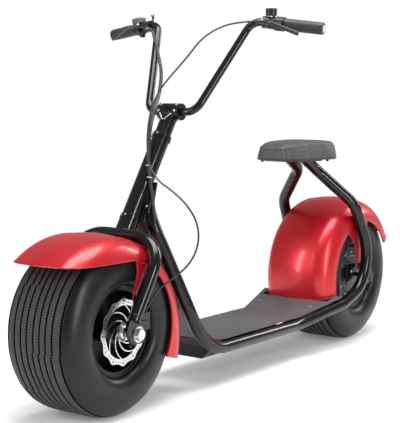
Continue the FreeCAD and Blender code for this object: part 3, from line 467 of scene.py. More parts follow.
# Each row is one column of points: halves of a groove from its middle, millimetres more, share of the depth.
GROOVE_WALLS = ((-1, -0.8, 0.0), (-1, 0, 0.12), (-0.6, 0, 1.0), (0.6, 0, 1.0), (1, 0, 0.12), (1, 0.8, 0.0))
# The grooves wander by DRIFT either way. Their breaks are given in degrees round the wheel.
DRIFT, BREAK_EVERY, BREAK_HALF, BREAK_RAMP = 2.6, 72, 0.7, 0.5
RIGHT_BREAK, LEFT_BREAK, OUTER_DRIFT = 35.6, -7.5, 0.4


def tread_radius(left):
    lefts, radii = zip(*TYRE_SHAPE[:TREAD_TO])
    return float(np.interp(abs(left), lefts, radii))


def tread_columns():
    return [(groove + GROOVE_HALF * halves + more, cut, number) for number, groove in enumerate(GROOVES)
            for halves, more, cut in GROOVE_WALLS]


def groove_state(angle, number):
    start = RIGHT_BREAK if GROOVES[number] < 0 else LEFT_BREAK
    turn = ((math.degrees(angle) - start) % BREAK_EVERY) / BREAK_EVERY
    drift = DRIFT * (1 - 2 * turn)
    if abs(GROOVES[number]) == max(GROOVES):
        drift *= OUTER_DRIFT
    near_break = min(turn, 1 - turn) * BREAK_EVERY
    depth = min(1.0, max(0.0, (near_break - BREAK_HALF) / BREAK_RAMP))
    return drift, depth


CUTS_ROUND = 210.0


def tread_finish(word, middle):
    """Ribs with a fine cross cut every few millimetres, told apart by their turn about the axle."""
    made = Finish(word + "_tread_rubber", (0.05, 0.047, 0.05), 0.55, specular=0.3)
    made.slot = "black_tyre"
    to_axle = (-middle[0] * MM, 0, -middle[2] * MM)
    centred = made.node("ShaderNodeMapping", Vector=made.place, Location=to_axle)
    stood = made.node("ShaderNodeMapping", Vector=centred.outputs[0], Rotation=(math.pi / 2, 0, 0))
    around = made.node("ShaderNodeTexGradient", Vector=stood.outputs[0])
    around.gradient_type = "RADIAL"
    share = made.math("FRACT", made.math("MULTIPLY", around.outputs["Fac"], CUTS_ROUND))
    cut = made.math("ABSOLUTE", made.math("SUBTRACT", share, 0.5))
    # The colour darkens into each cross cut: a painted shade in the cuts.
    made.color(cut, (0.0, (0.055, 0.052, 0.055)), (0.36, (0.047, 0.044, 0.047)),
               (0.44, (0.012, 0.011, 0.012)))
    made.bump(made.range(cut, 0.34, 0.46, 1.0, 0.0), 0.0012)
    made.bump(made.noise(900, 2), 0.0002)
    return made


# A near-black rubber that paints the shade in grooves, seams and pressed lines.
painted_groove_shade = Finish("painted_groove_shade", (0.003, 0.003, 0.003), 0.8, specular=0.1)
painted_groove_shade.rough(painted_groove_shade.noise(400), 0.3, 0.7, 0.72, 0.9)
painted_groove_shade.slot = "black_tyre"


def tyre(name, middle, body, steps=300):
    side = SHOULDER + TYRE_SHAPE[SIDE_FROM:]
    points = []
    for step in range(steps):
        angle = math.tau * step / steps
        row = [(-left, radius) for left, radius in reversed(side)]
        for left, cut, number in tread_columns():
            drift, depth = groove_state(angle, number)
            at = left + drift
            row.append((at, tread_radius(at) - GROOVE_DEPTH * cut * depth))
        row += side
        for left, radius in row:
            points.append((middle[0] + radius * math.cos(angle), left, middle[2] + radius * math.sin(angle)))
    columns = len(points) // steps
    ribs = tread_finish(body.split("_")[0], middle)
    made = mesh_piece(name + "_ribbed", points, grid_faces(steps, columns, True), ribs, body, (name,), 50)
    made.data.materials.append(tyre_rubber.made)
    made.data.materials.append(painted_groove_shade.made)
    for face in made.data.polygons:
        column = face.index % (columns - 1)
        if column < EDGE_COLUMNS or column > columns - EDGE_COLUMNS - 2:
            face.material_index = 1
        # The walls and floor of each groove get the painted groove shade.
        elif (column - EDGE_COLUMNS) % len(GROOVE_WALLS) in (1, 2, 3):
            face.material_index = 2
    return made


for name, middle in (("front_tyre", FRONT_AXLE), ("rear_tyre", REAR_AXLE)):
    made = tyre(name, middle, name.split("_")[0] + "_wheel")
    print(made.name, len(made.data.polygons), "faces")

# %% [markdown]
# ## Brake discs
# Each wheel has a steel disc with a wavy edge, rows of small holes, and thin curved arms that lead to the
# hub. A flat plate with many holes is easiest to draw as a filled 2D curve: the first loop is its outline
# and every other loop is a hole. The curve is given its thickness, turned to a mesh and stood on edge.

# %% Cut the brake discs
DISC_LEFT = 104
DISC_THICK = 2.4
LOBES, ARMS = 12, 8
RING_FOOT, HUB_EDGE, ARM_HALF, ARM_SWEEP = 70.5, 25, 2.6, -1.9
# One lobe of the wavy edge, as share of the lobe and radius, and its holes, as share, radius and hole size.
LOBE_EDGE = ((0, 89.8), (0.1, 89.2), (0.36, 84.6), (0.5, 83.8), (0.64, 84.6), (0.9, 89.2))
LOBE_HOLES = ((0, 82, 3), (0, 74.5, 2.2), (0.26, 78.5, 2.1), (0.5, 77.5, 2.4), (0.74, 78.5, 2.1))


def round_loop(radius, middle=(0, 0), steps=12):
    return [(middle[0] + radius * math.cos(math.tau * step / steps),
             middle[1] + radius * math.sin(math.tau * step / steps)) for step in range(steps)]


def polar(radius, turns):
    return radius * math.cos(math.tau * turns), radius * math.sin(math.tau * turns)


def outline_plate(name, loops, thick, middle, finish, body, replaces=()):
    data = bpy.data.curves.new(name, "CURVE")
    data.dimensions = "2D"
    data.fill_mode = "BOTH"
    data.extrude = thick / 2 * MM
    for loop in loops:
        spline = data.splines.new("POLY")
        spline.points.add(len(loop) - 1)
        for target, (ahead, above) in zip(spline.points, loop):
            target.co = (ahead * MM, above * MM, 0, 1)
        spline.use_cyclic_u = True
    plate = curve_mesh(data)
    plate.transform(Matrix.Translation(Vector(middle) * MM) @ Matrix.Rotation(math.pi / 2, 4, "X"))
    return add_piece(name, plate, finish, body, replaces)


def arm_window(arm):
    def edge(side, radius):
        share = (radius - HUB_EDGE) / (RING_FOOT - HUB_EDGE)
        swept = arm + side + ARM_SWEEP * share ** 0.8
        return polar(radius, swept / ARMS + (0.5 - side) * 2 * ARM_HALF / (math.tau * radius))
    radii = [HUB_EDGE + (RING_FOOT - HUB_EDGE) * step / 6 for step in range(7)]
    outer = [edge(side, RING_FOOT) for side in (0.25, 0.5, 0.75)]
    inner = [edge(side, HUB_EDGE) for side in (0.75, 0.5, 0.25)]
    return [edge(0, r) for r in radii] + outer + [edge(1, r) for r in reversed(radii)] + inner


def disc_loops():
    edge = [polar(radius, (lobe + share) / LOBES) for lobe in range(LOBES) for share, radius in LOBE_EDGE]
    windows = [arm_window(arm) for arm in range(ARMS)]
    holes = [round_loop(hole, polar(radius, (lobe + share) / LOBES)) for lobe in range(LOBES)
             for share, radius, hole in LOBE_HOLES]
    return [edge] + windows + holes


for word, middle, left in (("front", FRONT_AXLE, DISC_LEFT), ("rear", REAR_AXLE, -DISC_LEFT)):
    place = (middle[0], left, middle[2])
    made = outline_plate(word + "_disc_plate", disc_loops(), DISC_THICK, place, steel, word + "_wheel",
                         (word + "_disc",))
    soft_edges(made, 0.35)
    print(made.name, len(made.data.polygons), "faces")

# %% [markdown]
# ## Wheel fittings
# Round a wheel there are many small turned things: the boss and bolts that carry the disc, the cap over
# the bearing, the motor's cover with its ring of screws, and a tyre valve. Each is one outline that is
# turned about its axis, so one helper makes them all. The socket in a bolt's head is a small pit.

# %% Turn the wheel fittings
def turned(name, outline, middle, axis, finish, body, steps=32, replaces=()):
    closed = [(outline[0][0], 0.01)] + list(outline) + [(outline[-1][0], 0.01)]
    points, faces = lathe(closed, middle, steps, axis)
    made = mesh_piece(name, points, faces, finish, body, replaces)
    face_outward(made.data)


def socket_screws(name, places, axis, radius, height, finish, body):
    points, faces = [], []
    axis = Vector(axis).normalized()
    profile = ((0, radius), (height * 0.8, radius), (height, radius * 0.86), (height, radius * 0.5),
               (height * 0.45, radius * 0.48), (height * 0.4, 0.01))
    for place in places:
        more, more_faces = lathe(profile, place, 12, axis)
        faces += [tuple(len(points) + corner for corner in face) for face in more_faces]
        points += more
    mesh_piece(name, points, faces, finish, body)


def round_wheel(middle, left, radius, steps):
    """Points on a circle about an axle, `left` of the middle of the scooter."""
    return [(middle[0] + x, left, middle[2] + z) for x, z in round_loop(radius, steps=steps)]


print("helpers ready: turned, socket screws")

# %% Fit them to the wheels
HUB_FACE, DISC_BOLT_RING, CAP_SCREW_RING, COVER_SCREW_RING = 75, 20, 18.2, 76
BOSS = ((-1, 24), (26.8, 24), (28, 22.8))
HUB_CAP = ((0, 24), (3, 24), (6, 22.5), (12, 21), (14.5, 19), (15, 16))
MOTOR_COVER = ((0, 84), (2, 84), (3.5, 82), (3.5, 70), (8, 67), (12, 60), (14, 40), (14, 30),
               (24, 28), (25, 20))
VALVE = ((0, 4.5), (8, 4), (9, 2.8), (28, 2.8), (28.5, 3.6), (38, 3.6), (40, 3))
WHEELS = (("front", FRONT_AXLE, 1), ("rear", REAR_AXLE, -1))
for word, middle, side in WHEELS:
    bolts = round_wheel(middle, side * (DISC_LEFT + DISC_THICK / 2), DISC_BOLT_RING, 6)
    socket_screws(word + "_disc_bolts", bolts, (0, side, 0), 4, 4, steel, word + "_wheel")
    hub_end = (middle[0], side * HUB_FACE, middle[2])
    turned(word + "_disc_boss", BOSS, hub_end, (0, side, 0), steel, word + "_wheel", 48)
turned("front_hub_cap", HUB_CAP, (645, 105, 228), (0, 1, 0), steel, "front_wheel", 48)
cap_holes = round_wheel(FRONT_AXLE, 118.6, CAP_SCREW_RING, 8)
socket_screws("front_cap_screws", cap_holes, (0, 1, 0), 1.9, 1.6, dark_alloy, "front_wheel")
turned("motor_cover", MOTOR_COVER, (-645, HUB_FACE, 228), (0, 1, 0), motor_paint, "rear_wheel", 72)
cover_screws = round_wheel(REAR_AXLE, 78.4, COVER_SCREW_RING, 12)
socket_screws("motor_cover_screws", cover_screws, (0, 1, 0), 3.6, 3.5, steel, "rear_wheel")
for word, middle, side in WHEELS:
    valve_foot = (middle[0] - 84, side * 60, middle[2] - 58)
    turned(word + "_valve", VALVE, valve_foot, (0.35, side * 0.9, 0.25), steel, word + "_wheel", 16)
print("wheel fittings done")

# %% [markdown]
# ## Seat
# The saddle is foam under leatherette. It is wide at the back and narrows to a blunt nose. The outline is
# lofted as rings that grow and shrink with height, remeshed to even squares, and puffed up by a short
# cloth simulation with a little air pressure. The air alone would swell it by about 12 mm, so a cap keeps
# the pad to the size of the solid it stands for. It cuts in nearly everywhere: the form comes from the
# rings, and the air adds an even 3 mm. The seam that joins top and side comes last, because remeshing
# would lose it.

# %% Pad the seat
SEAT_MIDDLE = (-378, 0, 634)
SEAT_LONG, SEAT_WIDE, SEAT_NOSE, SEAT_HIGH = 305, 214, 128, 66
SQUARENESS, TAPER, SEAT_SHIFT, CROWN = 0.38, 1.25, 4, 0.92
NOSE_SAG, SAG_FROM, SAG_OVER = 12, 20, 130
SEAM_AT, SEAM_WIDE, SEAM_DEEP = 0.74, 0.035, 2.6
AIR, AIR_CAP, AIR_FRAMES, SEAT_VOXEL = 4.0, 3, 20, 5
# Each row is one ring of the loft: its share of the height, and how far it grows.
SEAT_RINGS = ((0.0, -4), (0.04, 0), (0.3, -1.5), (0.6, -5), (0.78, -7.5), (0.88, -10), (0.95, -17),
              (1.0, -40))


def seat_loop(grow, share, steps):
    """One ring of the seat, at a share of its height, with the nose sagging a little."""
    loop = []
    for step in range(steps):
        turn = math.tau * step / steps
        ahead = math.copysign(abs(math.cos(turn)) ** SQUARENESS, math.cos(turn))
        across = math.copysign(abs(math.sin(turn)) ** SQUARENESS, math.sin(turn))
        width = SEAT_WIDE + (SEAT_NOSE - SEAT_WIDE) * (0.5 + 0.5 * ahead) ** TAPER
        ahead, across = ahead * (SEAT_LONG / 2 + grow), across * (width / 2 + grow)
        sag = NOSE_SAG * max(0, (ahead - SAG_FROM) / SAG_OVER) ** 2 * share
        above = SEAT_HIGH * CROWN * share - sag
        loop.append((SEAT_MIDDLE[0] + SEAT_SHIFT + ahead, across, SEAT_MIDDLE[2] + above))
    return loop


def padded_shell(name, points, rings, voxel):
    data = bpy.data.meshes.new(name)
    columns = len(points) // rings
    faces = grid_faces(rings, columns, False, True)
    faces.append(tuple(range(columns)))
    faces.append(tuple(range(len(points) - columns, len(points)))[::-1])
    data.from_pydata([Vector(p) * MM for p in points], [], faces)
    face_outward(data)
    shell = add_piece(name, data, seat_cover, "frame", ("seat_cushion",))
    remesh = shell.modifiers.new("even", "REMESH")
    remesh.mode = "VOXEL"
    remesh.voxel_size = voxel * MM
    apply_all(shell)
    return shell


def apply_all(piece):
    view = bpy.context.evaluated_depsgraph_get()
    fresh = bpy.data.meshes.new_from_object(piece.evaluated_get(view), depsgraph=view)
    piece.modifiers.clear()
    piece.data = fresh


def puff(piece, pressure, cap, frames):
    start = np.array([v.co[:] for v in piece.data.vertices])
    cloth = piece.modifiers.new("air", "CLOTH")
    cloth.settings.use_pressure = True
    cloth.settings.uniform_pressure_force = pressure
    cloth.settings.effector_weights.gravity = 0
    cloth.point_cache.frame_end = frames
    for number in range(1, frames + 1):
        scene.frame_set(number)
    view = bpy.context.evaluated_depsgraph_get()
    soft = piece.evaluated_get(view).to_mesh()
    moved = np.array([v.co[:] for v in soft.vertices]) - start
    piece.evaluated_get(view).to_mesh_clear()
    piece.modifiers.clear()
    scene.frame_set(1)
    far = np.linalg.norm(moved, axis=1, keepdims=True)
    print("swelling:", round(float(far.mean()) / MM, 2), "mm on average, capped at", cap, "mm for",
          round(100 * float((far > cap * MM).mean())), "% of the points")
    moved *= np.minimum(1, cap * MM / np.maximum(far, 1e-9))
    return start + moved


ring_points = [point for share, grow in SEAT_RINGS for point in seat_loop(grow, share, 96)]
seat = padded_shell("seat_pad", ring_points, len(SEAT_RINGS), SEAT_VOXEL)
puffed = puff(seat, AIR, AIR_CAP, AIR_FRAMES)
seat.data.vertices.foreach_set("co", puffed.ravel())
foot, top = SEAT_MIDDLE[2] * MM, (SEAT_MIDDLE[2] + SEAT_HIGH) * MM
for corner in seat.data.vertices:
    share = (corner.co.z - foot) / (top - foot)
    seam = math.exp(-((share - SEAM_AT) / SEAM_WIDE) ** 2)
    inward = Vector((SEAT_MIDDLE[0] * MM - corner.co.x, -corner.co.y, 0)).normalized()
    corner.co += inward * seam * SEAM_DEEP * MM
    corner.co.z = min(max(corner.co.z, foot), top)
seat.data.shade_smooth()
smooth = seat.modifiers.new("smooth", "SUBSURF")
smooth.levels = smooth.render_levels = 1
print("seat pad", [round(v / MM) for v in seat.dimensions], "mm,", len(seat.data.polygons), "faces")

# %% Sew the seams
def laid_on(piece_mesh, points):
    """The same points, each moved to the nearest spot of the surface."""
    corners = [v.co for v in piece_mesh.vertices]
    surface = BVHTree.FromPolygons(corners, [p.vertices for p in piece_mesh.polygons])
    return [surface.find_nearest(Vector(p) * MM)[0] / MM for p in points]


pipe("seat_welt", laid_on(seat.data, seat_loop(-7, 0.80, 48)), 1.5, seat_cover, "frame", cyclic=True)
pipe("seat_hem", laid_on(seat.data, seat_loop(1, 0.05, 48)), 1.8, plastic, "frame", cyclic=True)
# The nose seam is a thin near-black bead, which paints the shade in the seam.
nose_seam = [(-236, 57, z) for z in (640, 652, 664, 676, 684)]
pipe("seat_nose_seam_shade", laid_on(seat.data, nose_seam), 0.9, painted_groove_shade, "frame")
for number, (ahead, left) in enumerate(((-262, 50), (-262, -50), (-466, 78), (-466, -78))):
    turned("seat_foot_" + str(number), ((0, 5), (4, 5), (8, 4)), (ahead, left, 636), (0, 0, -1), plastic,
           "frame", 20)
print("seat seams sewn")

# %% [markdown]
# ## Grips and the things beside them
# The grips are black rubber sleeves with raised rings and a flange at the inner end. They are turned like
# the wheel fittings, but about the bent end of the bar, so every place on them is a distance inward from
# the bar's tip. The right grip turns as the throttle and has a small display beside it. The left side has
# a switch pod and a bell.

# %% Place things along the bar
BAR_TIP = Vector((108.8, 371, 1026.5))
BAR_INWARD = Vector((0.191, -0.974, 0.119)).normalized()


def bar_direction(side):
    return Vector((BAR_INWARD.x, side * BAR_INWARD.y, BAR_INWARD.z))


def on_bar(side, inward, ahead=0.0, above=0.0):
    """A place on one end of the bar: millimetres inward from its tip, ahead of it and above it."""
    along = bar_direction(side)
    level = (Vector((1, 0, 0)) - along * along.x).normalized()
    rise = level.cross(along) * side
    tip = Vector((BAR_TIP.x, side * BAR_TIP.y, BAR_TIP.z))
    return tip + along * inward + level * ahead - rise * above


LEVER_AT = 165
GRIP_RINGS, FIRST_RING, RING_PITCH = 13, 8, 7.2
GRIP = [(-4, 12), (-4, 15), (-2.5, 16.4), (0, 17), (4, 17.2)]
for ring in range(GRIP_RINGS):
    at = FIRST_RING + ring * RING_PITCH
    GRIP += [(at, 17.1), (at + 0.6, 16.6), (at + 1.4, 16.6), (at + 2.0, 17.1)]
GRIP += [(104, 17), (105.5, 17.4), (108, 17.4), (109, 15.5), (112, 15.5)]
for word, side in (("left", 1), ("right", -1)):
    turned(word + "_grip_sleeve", GRIP, on_bar(side, 0), bar_direction(side), grip_rubber, "steering", 64,
           (word + "_grip",))
    turned(word + "_grip_end", ((0, 10.5), (1.2, 10.5), (2.2, 8)), on_bar(side, -3.8),
           -bar_direction(side), light_plastic, "steering", 32)
    hinge = [on_bar(side, LEVER_AT, 44, 4.6)]
    socket_screws(word + "_lever_hinge", hinge, (0, 0, 1), 4.6, 3, steel, "steering")
    bolts = [on_bar(side, LEVER_AT + shift, 0, 16.4) for shift in (-6, 6)]
    socket_screws(word + "_clamp_bolts", bolts, (0, 0, 1), 3, 2.6, steel, "steering")
print("grips:", len(GRIP), "points in their outline")

# %% [markdown]
# ## Cables
# Black outer cables run from the levers down the head tube. They are pipes round a smooth NURBS line. The
# line's control points are the same as the solid's, so both follow one route. The wires that share the
# run lie beside each other and go into a spiral-wrapped sleeve near the neck, which small white ties hold.
# The left cable turns with the bar as a whole. The right one starts at the bar and ends at the frame;
# it and the wires beside it are plain meshes that ride on no body.

# %% Run the cables
LEFT_CABLE = [(178.7, 196.4, 1047.8), (204, 147, 1045), (248, 112, 1026), (288, 86, 994), (314, 62, 947),
              (345, 38, 903), (378, 18, 860), (415, 17, 814), (439, 21, 761), (449, 25, 704), (455, 36, 650),
              (466, 75, 609), (470, 128, 585), (470, 179, 549), (457, 205, 500), (461, 210, 443),
              (486, 198, 393), (516, 164, 356), (547, 131, 323), (563, 113, 270.4)]
RIGHT_CABLE = [(178.7, -196.4, 1047.8), (188, -163, 1038), (204, -133, 983), (225, -105, 941),
               (254, -76, 905), (293, -49, 871), (336, -23, 837), (375, -6, 803), (406, 3, 760),
               (423, 10, 708), (434, 18, 655)]
SLEEVE = [(434.2, 18.4, 653.3), (440, 29, 610), (444, 41, 566), (451, 53, 523), (444, 49, 478)]
pipe("left_brake_line", LEFT_CABLE, 2.5, cable_jacket, "steering", ("front_brake_cable",))


def turning_wire(name, points, radius, replaces=()):
    """A wire from the bar down to the frame, left as a plain mesh that rides on no body."""
    mesh = curve_mesh(wire_curve(name, points, radius))
    mesh.shade_smooth()
    mesh.materials.clear()
    mesh.materials.append(cable_jacket.made)
    made = bpy.data.objects.new(name, mesh)
    scene.collection.objects.link(made)
    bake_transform(made)
    if replaces:
        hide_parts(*replaces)
    return made


turning_wire("right_brake_line", RIGHT_CABLE, 2.5, ("rear_brake_cable",))
pipe("wire_sleeve", SLEEVE, 4.4, cable_jacket, "frame", ("frame_loom",))
for name, beside, radius in (("throttle_wire", (-4.5, 1.5, -3), 1.7),
                             ("display_wire", (-1, -4.6, 1), 1.5)):
    turning_wire(name, [Vector(p) + Vector(beside) for p in RIGHT_CABLE[1:]], radius)
print("cables run")


# %% Wrap the sleeve
def line_points(route, steps):
    """Points along the smooth line of a route: a wire of no thickness is a bare line."""
    data = wire_curve("route", route, 0)
    data.splines[0].resolution_u = steps
    line = curve_mesh(data)
    places = [v.co / MM for v in line.vertices]
    bpy.data.meshes.remove(line)
    return places


def coil_round(route, radius, pitch, steps=10):
    line = line_points(route, 24)
    helix, turned_by = [], 0.0
    for before, after in zip(line, line[1:]):
        along = after - before
        flat = along.cross(Vector((0, 1, 0.3))).normalized()
        other = along.cross(flat).normalized()
        parts = max(1, round(along.length / pitch * steps))
        for part in range(parts):
            turned_by += along.length / parts / pitch * math.tau
            place = before + along * part / parts
            helix.append(place + radius * (flat * math.cos(turned_by) + other * math.sin(turned_by)))
    return helix


SPIRAL_RADIUS, SPIRAL_PITCH, TIE_RADIUS = 4.2, 6.5, 7.2
helix = coil_round(SLEEVE, SPIRAL_RADIUS, SPIRAL_PITCH)
pipe("sleeve_spiral", helix, 1.1, cable_jacket, "frame")
for number, at in enumerate(((434.4, 19, 646), (439, 27, 614))):
    ring = [Vector(at) + Vector((TIE_RADIUS * x, TIE_RADIUS * z, 1.5 * x))
            for x, z in round_loop(1, steps=10)]
    pipe("cable_tie_" + str(number), ring, 1.2, light_plastic, "frame", cyclic=True)
print("spiral has", len(helix), "points")

# %% [markdown]
# ## Controls on the bar
# Beside the throttle grip sit a small display in a grey case, a knob under the bar, a cable adjuster and
# a two-pronged clip. The left side has a switch pod with a button, and the bell. A case with soft edges is
# eight corners and a bevel, which is quicker than sculpting and keeps the flat faces flat.

# %% Build the small cases
def soft_case(name, middle, size, axes, round_by, finish, body):
    """A case whose three axes are given, with every edge rounded."""
    spans = [Vector(axis).normalized() * long for axis, long in zip(axes, size)]
    halves = (-0.5, 0.5)
    corners = [Vector(middle) + spans[0] * a + spans[1] * b + spans[2] * c
               for a in halves for b in halves for c in halves]
    faces = [(0, 1, 3, 2), (4, 6, 7, 5), (0, 4, 5, 1), (2, 3, 7, 6), (0, 2, 6, 4), (1, 5, 7, 3)]
    data = bpy.data.meshes.new(name)
    data.from_pydata([p * MM for p in corners], [], faces)
    sides = bmesh.new()
    sides.from_mesh(data)
    bmesh.ops.recalc_face_normals(sides, faces=sides.faces)
    bmesh.ops.bevel(sides, geom=sides.edges[:], offset=round_by * MM, segments=4, profile=0.5, affect="EDGES")
    sides.to_mesh(data)
    sides.free()
    data.shade_smooth()
    add_piece(name, data, finish, body)


def bar_axes(side):
    along = bar_direction(side)
    level = (Vector((1, 0, 0)) - along * along.x).normalized()
    return along, level, level.cross(along)


LEFT, RIGHT = 1, -1
DISPLAY_AT, KNOB_AT, ADJUSTER_AT, CLIP_AT, POD_AT = 126, 143, 176, 186, 124
KNOB = ((0, 4), (8, 4), (8, 6), (11, 8.5), (18, 8.5), (20, 7), (20.5, 4))
ADJUSTER = ((0, 4.2), (6, 4.2), (6.4, 3), (16, 3), (16.5, 2.4))
BUTTON = ((0, 5.5), (2.5, 5.5), (3.4, 4.4))
axes = bar_axes(RIGHT)
soft_case("display_case", on_bar(RIGHT, DISPLAY_AT, 4, 23), (36, 30, 17), axes, 4, grey_plastic, "steering")
soft_case("display_glass", on_bar(RIGHT, DISPLAY_AT, -7, 28), (26, 14, 9), axes, 1.5, plastic, "steering")
turned("throttle_knob", KNOB, on_bar(RIGHT, KNOB_AT, 8, -9), (0, 0, -1), plastic, "steering", 28)
turned("throttle_adjuster", ADJUSTER, on_bar(RIGHT, ADJUSTER_AT, 20, -5),
       bar_direction(RIGHT) + Vector((0.4, 0, -0.3)), steel, "steering", 16)
for number, lean in enumerate((-5, 5)):
    prong = [on_bar(RIGHT, CLIP_AT + lean * share, 0, above)
             for share, above in ((0, 10), (0.2, 20), (1, 32))]
    pipe("clip_prong_" + str(number), prong, 2, black, "steering")
soft_case("switch_pod", on_bar(LEFT, POD_AT, 12, -8), (22, 26, 24), bar_axes(LEFT), 5, plastic, "steering")
turned("horn_button", BUTTON, on_bar(LEFT, POD_AT, -18), (-1, 0, 0.1), steel, "steering", 24)
bell_low, bell_high = (Vector(corner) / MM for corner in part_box("bell"))
bell_top = Vector(((bell_low.x + bell_high.x) / 2, (bell_low.y + bell_high.y) / 2, bell_high.z - 3.6))
turned("bell_cap", ((0, 7), (2, 6.5), (3.4, 4)), bell_top, (0, 0, 1), black, "steering", 28)
print("controls done")

# %% [markdown]
# ## Bolts, collars and weld beads
# Screws hold the deck down, clamp bolts close the stem round the bar, and weld beads show where a tube
# meets another. A bead is a thin ring whose radius ripples a little, like the scales of a real weld.

# %% Find the steering axis
STEER_FOOT = Vector((665.8, 0, 228))
STEER_UP = Vector((-0.538771, 0, 0.842452))
STEER_AHEAD = Vector((0.842452, 0, 0.538771))


def on_steering(along, ahead=0.0, left=0.0):
    return STEER_FOOT + STEER_UP * along + STEER_AHEAD * ahead + Vector((0, left, 0))


WELD_SCALES, WELD_RIPPLE, WELD_THICK = 40, 0.7, 2.3


def weld_ring(name, middle, radius):
    """A rippled bead round a tube that lies along the steering axis."""
    turn = Vector((0, 0, 1)).rotation_difference(STEER_UP)
    ring = []
    for step in range(WELD_SCALES):
        spread = radius + (WELD_RIPPLE if step % 2 else 0.0)
        angle = math.tau * step / WELD_SCALES
        ring.append(middle + turn @ Vector((spread * math.cos(angle), spread * math.sin(angle), 0)))
    pipe(name, ring, WELD_THICK, black, "steering", cyclic=True)


print("helpers ready: places on the steering axis, weld ring")

# %% Fasten the frame
DECK_SCREWS = [(164, 90, 140), (164, -90, 140), (-85, 90, 140), (-85, -90, 140)]
SLOPE_SCREWS = [(-336, 98, 154.6), (-336, -98, 154.6)]
CLAMP_AT, COLLAR_BOLT_AT = 670, 6.5
socket_screws("deck_screws", DECK_SCREWS, (0, 0, 1), 5, 2.2, steel, "frame")
socket_screws("slope_screws", SLOPE_SCREWS, (0.199, 0, 0.98), 5, 2.2, steel, "frame")
pipe("deck_lip", [(227, y, 139.5) for y in (-104, -50, 0, 50, 104)], 2.0, steel, "frame")
COLLAR = ((0, 25.3), (0, 28), (12, 28), (13.5, 26.8), (13.5, 25.3))
for name, along in (("lower_collar", 319), ("upper_collar", 578)):
    points, faces = lathe(COLLAR, on_steering(along), 64, STEER_UP)
    mesh_piece(name, points, faces, black, "frame")
    bolts = [on_steering(along + COLLAR_BOLT_AT, 27 * math.cos(a), 27 * math.sin(a)) for a in (-0.5, 0.1)]
    socket_screws(name + "_bolts", bolts, STEER_AHEAD, 3.2, 2.6, steel, "frame")
clamp_bolts = [on_steering(CLAMP_AT + up, 22.5, left) for up in (-10, 10) for left in (-27, 27)]
socket_screws("stem_clamp_bolts", clamp_bolts, STEER_AHEAD, 4, 4, steel, "steering")
# The V-shaped bead below the clamp is bright steel on the black stem: a painted highlight.
pipe("stem_weld_highlight", [on_steering(652, 22, 20), on_steering(640, 23.5, 10), on_steering(628, 24, 0),
                   on_steering(640, 23.5, -10), on_steering(652, 22, -20)], 1.8, steel, "steering")
weld_ring("clamp_weld", on_steering(650), 22.5)
weld_ring("steerer_weld", on_steering(303), 18.9)
for word, side in (("left", 1), ("right", -1)):
    weld_ring(word + "_leg_weld", on_steering(46, 13, side * 150), 17.2)
print("screws:", len(DECK_SCREWS) + len(SLOPE_SCREWS), "on the deck")

# %% [markdown]
# ## Axle nuts
# A drilled washer and a hexagon nut close each end of the axles. The nut is the same turned outline as
# before with only six steps, which makes a hexagon. The thread end stands out of it.

# %% Fit the axle nuts
WASHER_RADIUS, WASHER_THICK, WASHER_HOLES = 21, 2, 8
HEXAGON = ((0, 16.2), (7.5, 16.2), (9.4, 14.6))


def axle_nut(name, middle, side, finish, body):
    face = Vector(middle)
    loops = [round_loop(WASHER_RADIUS, steps=48), round_loop(8, steps=24)]
    loops += [round_loop(1.7, polar(16.5, hole / WASHER_HOLES)) for hole in range(WASHER_HOLES)]
    outline_plate(name + "_washer", loops, WASHER_THICK, face + Vector((0, side * 1.2, 0)), finish, body)
    turned(name + "_hexagon", HEXAGON, face + Vector((0, side * 2.2, 0)), (0, side, 0), finish, body, 6)


for word, side in (("left", 1), ("right", -1)):
    axle_nut("front_" + word + "_nut", (645, side * 154, 228), side, steel, "steering")
    axle_nut("rear_" + word + "_nut", (-645, side * 152, 228), side, dark_alloy, "frame")
print("four axle nuts")

# %% [markdown]
# ## Rolled edges and the shade of the side seam
# A pressed fender has its edge rolled over, so it reads as a soft bright line and not as a knife edge.
# The edge follows the solid exactly: the sharp edges of its mesh are walked from corner to corner, and a
# thin bead runs along each chain. The rear fender also has a pressed line on each side. Its shade is painted
# as a thin near-black bead, which is drawn near the surface and then laid on it.

# %% Roll the fender edges
def sharp_chains(mesh, angle):
    """Chains of corners along the sharp edges of a mesh, in millimetres."""
    solid = bmesh.new()
    solid.from_mesh(mesh)
    bmesh.ops.remove_doubles(solid, verts=solid.verts, dist=1e-6)
    links = {}
    for edge in solid.edges:
        if len(edge.link_faces) == 2 and edge.calc_face_angle() > angle:
            first, second = (v.index for v in edge.verts)
            links.setdefault(first, set()).add(second)
            links.setdefault(second, set()).add(first)
    solid.verts.ensure_lookup_table()
    places = {index: solid.verts[index].co / MM for index in links}
    solid.free()
    chains = []
    while any(links.values()):
        loose = [index for index in sorted(links) if len(links[index]) == 1]
        here = loose[0] if loose else min(index for index in links if links[index])
        chain = [here]
        while links[here]:
            there = min(links[here])
            links[here].discard(there)
            links[there].discard(here)
            chain.append(there)
            here = there
        chains.append([places[index] for index in chain])
    return chains


SHARP_FROM, SHORTEST_EDGE = 1.1, 60


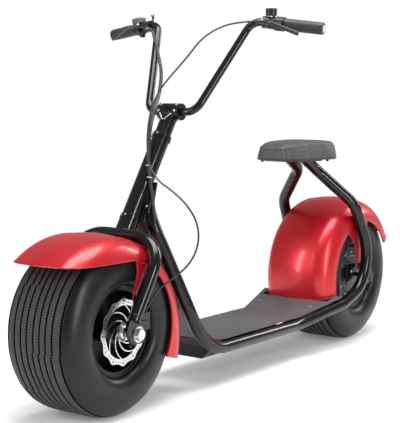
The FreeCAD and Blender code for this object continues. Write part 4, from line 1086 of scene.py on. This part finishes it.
def edge_bead(node, radius, finish, body):
    spots = 0
    data = bpy.data.curves.new(node + "_edge", "CURVE")
    data.dimensions = "3D"
    data.bevel_depth = radius * MM
    data.bevel_resolution = 2
    for chain in sharp_chains(nodes[node].data, SHARP_FROM):
        if sum((b - a).length for a, b in zip(chain, chain[1:])) < SHORTEST_EDGE:
            continue
        spline = data.splines.new("POLY")
        spline.points.add(len(chain) - 1)
        for target, place in zip(spline.points, chain):
            target.co = (*(place * MM), 1)
        spots += len(chain)
    add_piece(node + "_edge", data, finish, body)
    return spots


print("front edge:", edge_bead("front_fender", 1.3, red, "steering"), "points")
print("rear edge:", edge_bead("rear_fender", 1.3, red, "frame"), "points")
PRESSED_LINE = [(-572, 124, 440), (-515, 124, 441), (-472, 124, 418), (-455, 124, 372), (-462, 124, 334),
                (-478, 124, 300), (-482, 124, 250), (-474, 124, 190)]
# Each bead is near-black: it paints the shade of the pressed line on the red fender.
for word, side in (("left", 1), ("right", -1)):
    drawn = [(x, side * y, z) for x, y, z in PRESSED_LINE]
    pipe(word + "_pressed_line_shade", laid_on(nodes["rear_fender"].data, drawn), 0.8, painted_groove_shade, "frame")
print("two pressed lines")

# %% [markdown]
# ## Last small parts
# A hub motor would turn its own axle, so a plate beside it is screwed to the frame and holds the axle by
# its flats. Two screws pin the gusset at the neck. Each rim has a rolled lip where the tyre's bead sits.

# %% Add the torque plate, the neck screws and the rim lips
STRAIGHT = ((1, 0, 0), (0, 1, 0), (0, 0, 1))
soft_case("torque_plate", (-612, 107.5, 235), (96, 5, 70), STRAIGHT, 2, black, "frame")
socket_screws("torque_screw", [(-596, 110, 243)], (0, 1, 0), 5, 4, steel, "frame")
neck = laid_on(nodes["left_rail"].data, [(462, 36, 536), (459, 36, 522)])
socket_screws("neck_screws", neck, (0.79, 0.61, 0), 4, 3, steel, "frame")
LIP_LEFT, LIP_RADIUS = 91, 117.8
for wheel, middle in (("front", FRONT_AXLE), ("rear", REAR_AXLE)):
    for word, side in (("left", 1), ("right", -1)):
        ring = round_wheel(middle, side * LIP_LEFT, LIP_RADIUS, 48)
        pipe(wheel + "_" + word + "_rim_lip", ring, 1.6, dark_alloy, wheel + "_wheel", cyclic=True)
print("small parts added")
